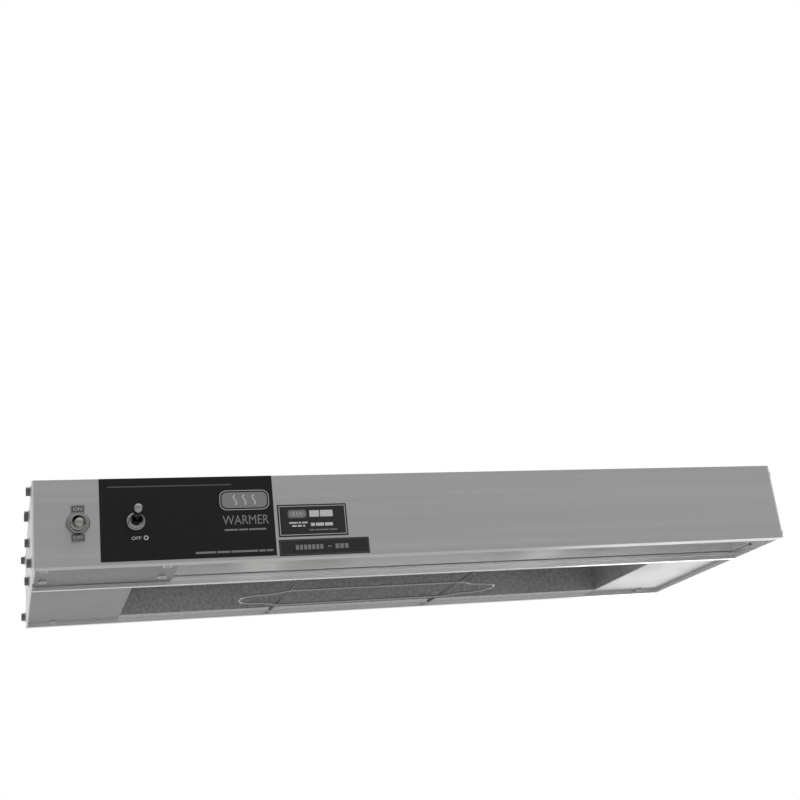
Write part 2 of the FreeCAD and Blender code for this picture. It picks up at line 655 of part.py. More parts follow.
def make_lamps():
    """Two screw-cap lamps lying along the trough in porcelain holders on angle brackets."""
    brackets, contacts, bracket_screws = [], [], []
    for side, x in (("left", "lamp_left_x"), ("right", "lamp_right_x")):
        outer = fuse(f"bulb_{side}_outer", [
            taper(f"bulb_{side}_neck", x, "lamp_y", "lamp_z", ALONG, "lamp_neck_radius",
                  "lamp_bulb_radius * 0.9", "lamp_ball_reach - 10"),
            ball(f"bulb_{side}_ball", f"{x} + lamp_ball_reach", "lamp_y", "lamp_z", "lamp_bulb_radius")])
        hollow = fuse(f"bulb_{side}_inner", [
            taper(f"bulb_{side}_throat", f"{x} - 0.1", "lamp_y", "lamp_z", ALONG,
                  "lamp_neck_radius - glass_gauge", "lamp_bulb_radius * 0.9 - glass_gauge", "lamp_ball_reach - 9.9"),
            ball(f"bulb_{side}_room", f"{x} + lamp_ball_reach", "lamp_y", "lamp_z",
                 "lamp_bulb_radius - glass_gauge")])
        node(cut(f"lamp_glass_{side}_body", outer, [hollow]), f"lamp_glass_{side}")
        shell = rod(f"cap_{side}_shell", x, "lamp_y", "lamp_z", BACK_ALONG, "lamp_neck_radius", "cap_length")
        room = rod(f"cap_{side}_room", f"{x} + 0.1", "lamp_y", "lamp_z", BACK_ALONG, "lamp_neck_radius - 0.8",
                   "cap_length - 1")
        node(cut(f"lamp_cap_{side}_body", shell, [room]), f"lamp_cap_{side}")
        holder = rod(f"holder_{side}", f"{x} - 3", "lamp_y", "lamp_z", BACK_ALONG, "socket_radius",
                     "socket_length - 3")
        well = rod(f"holder_{side}_well", f"{x} - 2", "lamp_y", "lamp_z", BACK_ALONG, "lamp_neck_radius + 0.3",
                   "cap_length")
        node(cut(f"lamp_holder_{side}_body", holder, [well]), f"lamp_holder_{side}")
        contacts.append(rod(f"contact_{side}", f"{x} - cap_length", "lamp_y", "lamp_z", BACK_ALONG, "3", "2"))
        back = f"{x} - socket_length"
        upright = block(f"bracket_{side}_upright", (f"{back} - 1.2", back), ("lamp_y - 9", "lamp_y + 9"),
                        ("lamp_z - 12", "floor + lamp_crown_level"))
        foot = block(f"bracket_{side}_foot", (f"{back} - 18", back), ("lamp_y - 9", "lamp_y + 9"),
                     ("floor + lamp_crown_level - 1.2", "floor + lamp_crown_level"))
        blank = fuse(f"bracket_{side}_blank", [upright, foot])
        notch = rod(f"bracket_{side}_hole", f"{back} - 10", "lamp_y", "floor + lamp_crown_level - 2", UPRIGHT,
                    "screw_radius", "4")
        brackets.append(cut(f"bracket_{side}", blank, [notch]))
        bracket_screws.append(pan_screw(f"bracket_{side}_screw", f"{back} - 10", "lamp_y",
                                        "floor + lamp_crown_level - 1.2", DOWNWARD,
                                        "height - lamp_crown_level + 1.2"))
    node(group("lamp_brackets_group", brackets), "lamp_brackets")
    node(group("lamp_contacts_group", contacts), "lamp_contacts")
    node(group("lamp_bracket_screws_group", bracket_screws), "lamp_bracket_screws")


def make_control_box():
    """A bulkhead closes the control compartment from the lamps, and a cover closes it below."""
    upright = block("bulkhead_upright", ("bulkhead", "bulkhead + 1"), ("front + skin + 1.4", "joint - skin - 0.4"),
                    ("floor + control_cover_level", "0 - skin - 0.3"))
    flange = block("bulkhead_flange", ("bulkhead - 13", "bulkhead + 1"), ("front + 16", "joint - 4"),
                   ("floor + control_cover_level", "floor + control_cover_level + 1"))
    blank = fuse("bulkhead_blank", [upright, flange])
    spots = [("left + 8.3", "front + 24"), ("left + 8.3", "front + 60"), ("left + 96", "front + 24"),
             ("left + 96", "front + 60")]
    tools = [rod(f"bulkhead_hole_{index}", x, y, "floor + 3", UPRIGHT, "screw_radius", "4")
             for index, (x, y) in enumerate(spots[2:])]
    tools.append(rod("bulkhead_notch", "bulkhead - 1", "lamp_y + 16", "lead_level", ALONG, "3.8", "3"))
    node(cut("control_bulkhead_body", blank, tools), "control_bulkhead")
    plate = block("control_cover_plate", ("left + end_gauge + skin + fit_gap", "bulkhead + 1"),
                  ("front + lip_depth + 1", "joint - 1"),
                  ("floor + control_cover_level - cover_gauge", "floor + control_cover_level"))
    holes = [rod(f"control_cover_hole_{index}", x, y, "floor + 2", UPRIGHT, "screw_radius", "4")
             for index, (x, y) in enumerate(spots)]
    node(cut("control_cover_body", plate, holes), "control_cover")
    screws = [pan_screw(f"control_cover_screw_{index}", x, y, "floor + control_cover_level - cover_gauge",
                        DOWNWARD, "5") for index, (x, y) in enumerate(spots)]
    node(group("control_cover_screws_group", screws), "control_cover_screws")


def make_switch(name, x, face, rest_up):
    """A panel toggle switch: body with tabs, threaded neck, front nut, back nut and bat lever."""
    body = block(f"{name}_case", (f"{x} - switch_case_half_width", f"{x} + switch_case_half_width"),
                 ("case_front", "case_back"), ("switch_z - switch_case_half", "switch_z + switch_case_half"))
    node(body, f"{name}_switch_case")
    tabs = [block(f"{name}_tab_{index}", (f"{x} - tab_half_width", f"{x} + tab_half_width"),
                  ("case_back", "case_back + tab_length"),
                  (f"switch_z + {rise} - 0.4", f"switch_z + {rise} + 0.4")) for index, rise in enumerate((-9, 0, 9))]
    neck = rod(f"{name}_neck_bar", x, "case_front", "switch_z", FORWARD, "thread_radius",
               "skin + switch_case_gap + thread_reach")
    seat = rod(f"{name}_neck_seat", x, "front + 1.2", "switch_z", FORWARD, "lever_ball + 0.2", "4")
    mouth = taper(f"{name}_neck_mouth", x, "front - lever_pivot - 0.7", "switch_z", FORWARD, "lever_ball + 0.2",
                  "4.5", "thread_reach - lever_pivot - 0.5")
    node(cut(f"{name}_neck_body", neck, [seat, mouth]), f"{name}_switch_neck")
    back_nut = hexagon(f"{name}_back_nut", x, "front + skin", "switch_z", BACKWARD, "back_nut", "back_nut_height")
    back_bore = rod(f"{name}_back_bore", x, "front + skin - 1", "switch_z", BACKWARD, "thread_radius", "4")
    back_nut_body = cut(f"{name}_back_nut_body", back_nut, [back_bore])
    ring = rod(f"{name}_ring", x, f"front - {face}", "switch_z", FORWARD, f"{name}_ring", f"{name}_ring_height")
    ring_bore = rod(f"{name}_ring_bore", x, f"front - {face} + 1", "switch_z", FORWARD, "thread_radius", "5")
    node(cut(f"{name}_ring_nut_body", ring, [ring_bore]), f"{name}_switch_nut")
    tilt = "0 - lever_throw" if rest_up else "lever_throw"
    angle = math.radians(number(tilt))
    turn = Rotation(Vector(0, 0, 1), Vector(0, -math.cos(angle), -math.sin(angle)))
    pivot_y = "front - lever_pivot"
    tip_y = f"{pivot_y} - lever_length * cos({tilt})"
    tip_z = f"switch_z - lever_length * sin({tilt})"
    lever = fuse(f"{name}_lever_body", [
        ball(f"{name}_lever_ball", x, pivot_y, "switch_z", "lever_ball"),
        taper(f"{name}_lever_bat", x, pivot_y, "switch_z", turn, "lever_ball * 0.62", "lever_tip", "lever_length"),
        ball(f"{name}_lever_tip", x, tip_y, tip_z, "lever_tip")])
    node(lever, f"{name}_switch_lever")
    return tabs, back_nut_body


def make_switches():
    """The light switch on the bare panel and the heater switch on the black plate."""
    light_x = "left + light_switch_across"
    heater_x = "left + heater_switch_across"
    light_tabs, light_nut = make_switch("light", light_x, "legend_gauge", False)
    heater_tabs, heater_nut = make_switch("heater", heater_x, "plate_gauge", True)
    node(group("switch_tabs_group", light_tabs + heater_tabs), "switch_tabs")
    node(group("switch_back_nuts_group", [light_nut, heater_nut]), "switch_back_nuts")
    blank = fuse("legend_blank", [
        rod("legend_disc", light_x, "front", "switch_z", FORWARD, "legend_radius", "legend_gauge"),
        block("legend_bar", (f"{light_x} - legend_half", f"{light_x} + legend_half"),
              ("front - legend_gauge", "front"), ("switch_z - legend_reach", "switch_z + legend_reach"))])
    hole = rod("legend_hole", light_x, "front + 1", "switch_z", FORWARD, "thread_radius", "3")
    node(cut("light_legend_body", blank, [hole]), "light_legend_plate")


def make_plates():
    """The black control plate and two small labels on the front panel."""
    plate = block("plate_blank", ("left + plate_left", "left + plate_right"), ("front - plate_gauge", "front"),
                  ("floor + plate_low", "0"))
    hole = rod("plate_hole", "left + heater_switch_across", "front + 1", "switch_z", FORWARD, "thread_radius", "3")
    node(cut("control_plate_body", plate, [hole]), "control_plate")
    for name in ("service_label", "lower_label"):
        node(block(f"{name}_blank", (f"left + {name}_left", f"left + {name}_right"), ("front - label_gauge", "front"),
                   (f"floor + {name}_low", f"floor + {name}_high")), name)


def make_wiring():
    """A terminal block, a ground screw, a grommet and the leads that the compartments hide."""
    block_x = ("left + 10", "left + 32")
    base = block("block_base", block_x, ("middle - 26", "middle + 26"), ("0 - wall - 16", "0 - wall"))
    pockets = []
    screws = []
    for index in range(4):
        y = f"middle - 18 + {index} * 12"
        pockets.append(block(f"block_pocket_{index}", ("left + 13", "left + 29"), (f"{y} - 4.5", f"{y} + 4.5"),
                             ("0 - wall - 17", "0 - wall - 10")))
        pockets.append(rod(f"block_bore_{index}", "left + 21", y, "0 - wall - 11", UPRIGHT, "screw_radius", "5"))
        screws.append(pan_screw(f"block_screw_{index}", "left + 21", y, "0 - wall - 10", DOWNWARD, "4"))
    node(cut("terminal_block_body", base, pockets), "terminal_block")
    node(group("terminal_screws_group", screws), "terminal_screws")
    node(pan_screw("ground_screw_body", "left + end_gauge + 1.6", "middle - 45", "floor + 30", ALONG, "1.6"),
         "ground_screw")
    flange_a = rod("grommet_front", "left + 52", "joint - 1.4", "floor + passage_level", BACKWARD, "11", "1.4")
    flange_b = rod("grommet_rear", "left + 52", "joint + wall", "floor + passage_level", BACKWARD, "11", "1.4")
    middle_ring = rod("grommet_middle", "left + 52", "joint", "floor + passage_level", BACKWARD,
                      "passage_radius", "wall")
    eye = rod("grommet_eye", "left + 52", "joint - 3", "floor + passage_level", BACKWARD, "6.5", "8")
    node(cut("wire_grommet_body", fuse("grommet_blank", [flange_a, flange_b, middle_ring]), [eye]),
         "wire_grommet")
    bend = number("lead_bend")
    pin_left = "0 - recess_half - element_cold_end - pin_length"
    pin_right = "recess_half + element_cold_end + pin_length"
    through = ("left + 52", "joint - 14", "floor + passage_level + 2")
    inside = ("left + 52", "joint + 16", "floor + passage_level + 2")
    tab_end = "front + skin + 31"
    heater_leads = [
        bent_wire("heater_lead_near", [
            ("left + heater_switch_across", tab_end, "switch_z + 9"),
            ("left + heater_switch_across", "front + 52", "switch_z + 9"), through, inside,
            ("left + 48", "middle - 20", "floor + 34"), (f"{pin_left} - 12", "middle", "element_z"),
            (pin_left, "middle", "element_z")], "lead_radius", bend),
        bent_wire("heater_lead_far", [
            ("left + 32", "middle + 18", "0 - wall - 5"), ("left + 60", "middle + 18", "0 - wall - 5"),
            ("left + 90", "middle + 12", "0 - wall - 4"), ("0", "middle + 14", "0 - wall - 4"),
            (f"{pin_right} - 24", "middle + 12", "0 - wall - 4"), (f"{pin_right} + 12", "middle + 10", "0 - wall - 8"),
            (f"{pin_right} + 12", "middle", "element_z"), (pin_right, "middle", "element_z")],
            "lead_radius", bend)]
    node(group("heater_leads_group", heater_leads), "heater_leads")
    lamp_leads = []
    for side, x, aside, rise in (("left", "lamp_left_x", "14", "9"), ("right", "lamp_right_x", "18", "0")):
        drop = f"{x} - socket_length - 10"
        start = "left + light_switch_across"
        lamp_leads.append(bent_wire(f"lamp_lead_{side}", [
            (start, tab_end, f"switch_z + {rise}"), (start, "front + 46", f"switch_z + {rise}"),
            ("bulkhead - 30", f"lamp_y + {aside}", "lead_level"), (drop, f"lamp_y + {aside}", "lead_level"),
            (drop, f"lamp_y + {aside}", "lamp_z + 8"),
            (f"{x} - socket_length - 1.2", f"lamp_y + {aside} - 2", "lamp_z + 4")], "lead_radius", 4.0))
    node(group("lamp_leads_group", lamp_leads), "lamp_leads")


def make_fasteners():
    """End plate screws on both sides, and the rivets along the seam between the two sections."""
    for side, edge, turn in (("left", "left", BACK_ALONG), ("right", "right", ALONG)):
        screws = [end_screw(f"end_screw_{side}_{index}", y, z, edge, turn, "14")
                  for index, (y, z) in enumerate(end_screw_places("heater"))]
        screws += [end_screw(f"end_screw_{side}_{index + 4}", y, z, edge, turn, "2.6")
                   for index, (y, z) in enumerate(end_screw_places("light"))]
        node(group(f"end_screws_{side}_group", screws), f"end_screws_{side}")
    rivets = []
    for index, x in enumerate(rivet_places()):
        shank = rod(f"rivet_{index}_shank", x, "joint - skin", "rivet_level", BACKWARD, "screw_radius",
                    "skin + wall")
        head = rod(f"rivet_{index}_head", x, "joint + wall", "rivet_level", BACKWARD, "3", "1")
        tail = rod(f"rivet_{index}_tail", x, "joint - skin", "rivet_level", FORWARD, "2.3", "0.8")
        rivets.append(fuse(f"rivet_{index}", [shank, head, tail]))
    node(group("seam_rivets_group", rivets), "seam_rivets")


make_heater_housing()
make_heater_ends()
make_heater_reflector()
make_element()
make_guard()
make_terminal_covers()
make_shelf_inserts()
make_light_housing()
make_light_ends()
make_lamp_reflector()
make_lamps()
make_control_box()
make_switches()
make_plates()
make_wiring()
make_fasteners()
doc.recompute()

# ---- check and write --------------------------------------------------------------------------

for thing in doc.Objects:
    if "Invalid" in thing.State or "Error" in thing.State:
        raise RuntimeError(f"{thing.Label} failed: {thing.State}")
for thing in NODES:
    if thing.Shape.isNull() or not thing.Shape.isValid():
        raise RuntimeError(f"{thing.Label} has no valid shape")
os.makedirs("parts", exist_ok=True)
for thing in NODES:
    thing.Shape.exportStep(f"parts/{thing.Label}.step")
    print(f"{thing.Label}: {len(thing.Shape.Solids)} solids, {thing.Shape.Volume / 1000:.2f} cm3")
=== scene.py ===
import json
import logging
import math
from dataclasses import dataclass
from enum import Enum
from typing import Sequence

import bmesh
import bpy
from mathutils import Matrix, Quaternion, Vector


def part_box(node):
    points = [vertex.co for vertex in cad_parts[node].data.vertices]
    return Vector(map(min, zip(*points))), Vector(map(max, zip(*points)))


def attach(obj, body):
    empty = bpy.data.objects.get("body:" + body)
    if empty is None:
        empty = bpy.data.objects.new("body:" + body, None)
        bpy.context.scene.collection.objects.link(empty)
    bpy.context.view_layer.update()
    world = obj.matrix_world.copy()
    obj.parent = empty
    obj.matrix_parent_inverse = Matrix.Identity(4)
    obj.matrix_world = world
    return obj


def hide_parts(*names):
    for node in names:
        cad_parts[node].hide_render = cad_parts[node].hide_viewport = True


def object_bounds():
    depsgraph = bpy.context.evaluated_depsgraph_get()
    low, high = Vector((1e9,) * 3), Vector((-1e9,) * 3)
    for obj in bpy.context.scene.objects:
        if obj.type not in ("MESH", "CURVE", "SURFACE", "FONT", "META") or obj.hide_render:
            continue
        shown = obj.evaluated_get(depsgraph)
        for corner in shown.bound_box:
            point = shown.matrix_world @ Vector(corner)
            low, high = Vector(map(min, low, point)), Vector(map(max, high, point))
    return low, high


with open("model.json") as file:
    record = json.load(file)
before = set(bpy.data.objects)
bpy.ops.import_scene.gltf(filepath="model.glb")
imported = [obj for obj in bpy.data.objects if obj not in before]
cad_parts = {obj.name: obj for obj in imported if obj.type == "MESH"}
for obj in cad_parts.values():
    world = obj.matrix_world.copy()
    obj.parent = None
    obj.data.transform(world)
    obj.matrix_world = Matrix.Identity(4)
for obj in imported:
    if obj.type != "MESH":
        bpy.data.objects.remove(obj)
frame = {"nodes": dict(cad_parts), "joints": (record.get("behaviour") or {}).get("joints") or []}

CAD_LOW, CAD_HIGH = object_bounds()

LOG = logging.getLogger("strip_warmer")
WARMER = "warmer"
CAD_WELD, SEAM_WELD = 0.00001, 0.000002
PAN_RADIUS, PAN_HEIGHT = 0.0033, 0.0020
Corner = Sequence[float]
Colour = tuple[float, float, float]
Outline = list[tuple[float, float]]


class Facing(Enum):
    """The way the axis of a turned or flat shape points."""

    LEFT = ((0, 0, -1), (0, 1, 0), (1, 0, 0))
    RIGHT = ((0, 0, 1), (0, 1, 0), (-1, 0, 0))
    FRONT = ((1, 0, 0), (0, 0, -1), (0, 1, 0))
    BACK = ((-1, 0, 0), (0, 0, 1), (0, 1, 0))
    UP = ((1, 0, 0), (0, 1, 0), (0, 0, 1))
    DOWN = ((1, 0, 0), (0, -1, 0), (0, 0, -1))

    @property
    def way(self) -> Vector:
        """The direction itself."""
        return Matrix(self.value).col[2]

    @property
    def side(self) -> str:
        """The word for it in the names of nodes."""
        return self.name.lower()

    def matrix(self, place: Corner) -> Matrix:
        """Turn +Z to this facing, keep +Y or +Z upright, and move to a place.

        Args:
            place: Where the shape's own origin goes, in metres.

        Returns:
            The matrix that does it.
        """
        return Matrix.Translation(Vector(place)) @ Matrix(self.value).to_4x4()


ENDS = (Facing.LEFT, Facing.RIGHT)


@dataclass(frozen=True)
class Block:
    """The box round a CAD node, or round one of its solids."""

    low: Vector
    high: Vector

    @property
    def size(self) -> Vector:
        """Its length along each axis."""
        return self.high - self.low

    @property
    def centre(self) -> Vector:
        """Its middle."""
        return (self.low + self.high) / 2

    def at(self, x: float | None = None, y: float | None = None, z: float | None = None) -> Vector:
        """Its middle, with the coordinates given put in place of its own.

        Args:
            x: The place across, or None for the middle's.
            y: The place from front to back, or None for the middle's.
            z: The level, or None for the middle's.

        Returns:
            The place.
        """
        return Vector([own if given is None else given for own, given in zip(self.centre, (x, y, z))])


def box(node: str) -> Block:
    """The box of a CAD node."""
    return Block(*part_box(node))


# ---- finishes ---------------------------------------------------------------------------------

class Nodes:
    """A small helper round a node tree."""

    def __init__(self, tree: bpy.types.NodeTree) -> None:
        """Keep the tree."""
        self.tree = tree

    def add(self, kind: str, values: dict[str | int, object] | None = None, **settings: object) -> bpy.types.Node:
        """Add a node, and set its properties and its unlinked inputs.

        Args:
            kind: The node's type name.
            values: Values of its inputs, by name or number.
            **settings: Properties of the node, by name.

        Returns:
            The new node.
        """
        node = self.tree.nodes.new(kind)
        for name, value in settings.items():
            setattr(node, name, value)
        for label, value in (values or {}).items():
            node.inputs[label].default_value = value
        return node

    def link(self, start: bpy.types.NodeSocket, end: bpy.types.NodeSocket) -> None:
        """Join an output to an input."""
        self.tree.links.new(start, end)

    def place(self) -> bpy.types.NodeSocket:
        """The place on the piece, in its object's coordinates."""
        return self.add("ShaderNodeTexCoord").outputs["Object"]

    def noise(self, vector: bpy.types.NodeSocket, scale: bpy.types.NodeSocket | float,
              detail: float) -> bpy.types.NodeSocket:
        """Add a noise texture.

        Args:
            vector: What it is laid over.
            scale: Its scale, as a number or a socket.
            detail: Its detail.

        Returns:
            Its value.
        """
        noise = self.add("ShaderNodeTexNoise", {"Detail": detail})
        self.link(vector, noise.inputs["Vector"])
        if isinstance(scale, float):
            noise.inputs["Scale"].default_value = scale
        else:
            self.link(scale, noise.inputs["Scale"])
        return noise.outputs["Fac"]


class EffectKind(Enum):
    """The shared surface effects, each one a node group."""

    DRAWN_LINES = "drawn_lines"
    ROLLED_MOTTLE = "rolled_mottle"
    HANDLING = "handling"
    SPECKLE = "speckle"


class Effects:
    """Builds each shared effect once, as a shader node group."""

    def __init__(self) -> None:
        """Start with no groups."""
        self._groups: dict[EffectKind, bpy.types.NodeTree] = {}

    def get(self, kind: EffectKind) -> bpy.types.NodeTree:
        """Give the group of an effect, made when first asked for.

        Args:
            kind: The effect.

        Returns:
            Its node group.
        """
        if kind not in self._groups:
            maker = {EffectKind.DRAWN_LINES: self._drawn_lines, EffectKind.ROLLED_MOTTLE: self._rolled_mottle,
                     EffectKind.HANDLING: self._handling, EffectKind.SPECKLE: self._speckle}[kind]
            self._groups[kind] = maker(kind.value)
        return self._groups[kind]

    @staticmethod
    def _start(name: str, sockets: dict[str, float | Colour],
               outputs: Sequence[str]) -> tuple[Nodes, bpy.types.Node, bpy.types.Node]:
        """Make an empty group with named sockets.

        Args:
            name: The group's name.
            sockets: Inputs with their defaults; three numbers make a vector.
            outputs: Names of the number outputs.

        Returns:
            The group's nodes, its input node and its output node.
        """
        tree = bpy.data.node_groups.new(name, "ShaderNodeTree")
        for label, value in sockets.items():
            kind = "NodeSocketVector" if isinstance(value, tuple) else "NodeSocketFloat"
            socket = tree.interface.new_socket(name=label, in_out="INPUT", socket_type=kind)
            socket.default_value = value
        for label in outputs:
            tree.interface.new_socket(name=label, in_out="OUTPUT", socket_type="NodeSocketFloat")
        nodes = Nodes(tree)
        return nodes, nodes.add("NodeGroupInput"), nodes.add("NodeGroupOutput")

    def _drawn_lines(self, name: str) -> bpy.types.NodeTree:
        """Fine parallel lines, as a brush or an extrusion die leaves them.

        Args:
            name: The group's name.

        Returns:
            The group.
        """
        nodes, start, end = self._start(name, {"Stretch": (6.0, 900.0, 900.0), "Coarse": (2.0, 160.0, 160.0)},
                                        ("Fine", "Broad"))
        place = nodes.place()
        for label, output, detail in (("Stretch", "Fine", 3.0), ("Coarse", "Broad", 2.0)):
            scale = nodes.add("ShaderNodeVectorMath", operation="MULTIPLY")
            nodes.link(place, scale.inputs[0])
            nodes.link(start.outputs[label], scale.inputs[1])
            nodes.link(nodes.noise(scale.outputs[0], 1.0, detail), end.inputs[output])
        return nodes.tree

    def _rolled_mottle(self, name: str) -> bpy.types.NodeTree:
        """The soft cells of bright rolled sheet.

        Args:
            name: The group's name.

        Returns:
            The group.
        """
        nodes, start, end = self._start(name, {"Scale": 260.0, "Cloud": 24.0}, ("Height", "Cloud"))
        place = nodes.place()
        cells = nodes.add("ShaderNodeTexVoronoi", feature="SMOOTH_F1")
        cells.inputs["Smoothness"].default_value = 0.8
        nodes.link(place, cells.inputs["Vector"])
        nodes.link(start.outputs["Scale"], cells.inputs["Scale"])
        both = nodes.add("ShaderNodeMath", {1: 0.6}, operation="MULTIPLY_ADD")
        nodes.link(nodes.noise(place, start.outputs["Scale"], 2.0), both.inputs[0])
        nodes.link(cells.outputs["Distance"], both.inputs[2])
        nodes.link(both.outputs[0], end.inputs["Height"])
        nodes.link(nodes.noise(place, start.outputs["Cloud"], 3.0), end.inputs["Cloud"])
        return nodes.tree

    def _handling(self, name: str) -> bpy.types.NodeTree:
        """Smudges and fine wipe marks of a cleaned kitchen appliance.

        Args:
            name: The group's name.

        Returns:
            The group.
        """
        nodes, start, end = self._start(name, {"Scale": 18.0, "Low": 0.45, "High": 0.75}, ("Mask",))
        spread = nodes.add("ShaderNodeMapRange")
        nodes.link(nodes.noise(nodes.place(), start.outputs["Scale"], 5.0), spread.inputs["Value"])
        nodes.link(start.outputs["Low"], spread.inputs["From Min"])
        nodes.link(start.outputs["High"], spread.inputs["From Max"])
        nodes.link(spread.outputs["Result"], end.inputs["Mask"])
        return nodes.tree

    def _speckle(self, name: str) -> bpy.types.NodeTree:
        """A fine even grain for mouldings, films, porcelain and rubber.

        Args:
            name: The group's name.

        Returns:
            The group.
        """
        nodes, start, end = self._start(name, {"Scale": 900.0}, ("Grain",))
        nodes.link(nodes.noise(nodes.place(), start.outputs["Scale"], 2.0), end.inputs["Grain"])
        return nodes.tree


@dataclass(frozen=True)
class Finish:
    """One material: its plain values, and how much each effect moves them."""

    name: str
    colour: Colour
    metallic: float = 0.0
    roughness: float = 0.45
    colour_swing: float = 0.10
    roughness_swing: float = 0.08
    bump: float = 0.04
    bump_depth: float = 0.00005
    effect: EffectKind = EffectKind.SPECKLE
    effect_values: tuple[tuple[str, float | Colour], ...] = ()
    smudge: float = 0.06
    coat: float = 0.0
    transmission: float = 0.0
    specular: float = 0.5

    def build(self, effects: Effects) -> bpy.types.Material:
        """Make the material.

        Args:
            effects: Where the shared groups come from.

        Returns:
            The material, with its nodes.
        """
        material = bpy.data.materials.new(self.name)
        material.use_nodes = True
        nodes = Nodes(material.node_tree)
        shader = material.node_tree.nodes["Principled BSDF"]
        for label, value in (("Metallic", self.metallic), ("Coat Weight", self.coat),
                             ("Transmission Weight", self.transmission), ("Specular IOR Level", self.specular)):
            shader.inputs[label].default_value = value
        effect = nodes.add("ShaderNodeGroup", node_tree=effects.get(self.effect))
        for label, value in self.effect_values:
            effect.inputs[label].default_value = value
        marks = nodes.add("ShaderNodeGroup", node_tree=effects.get(EffectKind.HANDLING))
        height, shade = effect.outputs[0], effect.outputs[-1]
        tint = nodes.add("ShaderNodeMix", data_type="RGBA")
        for label, share in (("A", 1 - self.colour_swing), ("B", 1 + self.colour_swing)):
            tint.inputs[label].default_value = (*(min(1.0, channel * share) for channel in self.colour), 1.0)
        nodes.link(shade, tint.inputs["Factor"])
        nodes.link(tint.outputs["Result"], shader.inputs["Base Color"])
        spread = nodes.add("ShaderNodeMapRange", {"To Min": max(0.02, self.roughness - self.roughness_swing),
                                                  "To Max": self.roughness + self.roughness_swing})
        nodes.link(height, spread.inputs["Value"])
        wipe = nodes.add("ShaderNodeMath", {1: self.smudge}, operation="MULTIPLY_ADD")
        nodes.link(marks.outputs["Mask"], wipe.inputs[0])
        nodes.link(spread.outputs["Result"], wipe.inputs[2])
        nodes.link(wipe.outputs[0], shader.inputs["Roughness"])
        bump = nodes.add("ShaderNodeBump", {"Strength": self.bump, "Distance": self.bump_depth})
        nodes.link(height, bump.inputs["Height"])
        nodes.link(bump.outputs["Normal"], shader.inputs["Normal"])
        return material


def grey(level: float) -> Colour:
    """A colour without a tint."""
    return (level, level, level)


LINES, MOTTLE, SPECKLE = EffectKind.DRAWN_LINES, EffectKind.ROLLED_MOTTLE, EffectKind.SPECKLE
ALONG_X = (("Stretch", (5.0, 1400.0, 1400.0)), ("Coarse", (1.5, 150.0, 150.0)))
ALONG_Y = (("Stretch", (1400.0, 9.0, 1400.0)), ("Coarse", (150.0, 2.0, 150.0)))
COVER_CELLS = (("Scale", 320.0),)
STEEL_GRAIN = (("Scale", 500.0),)


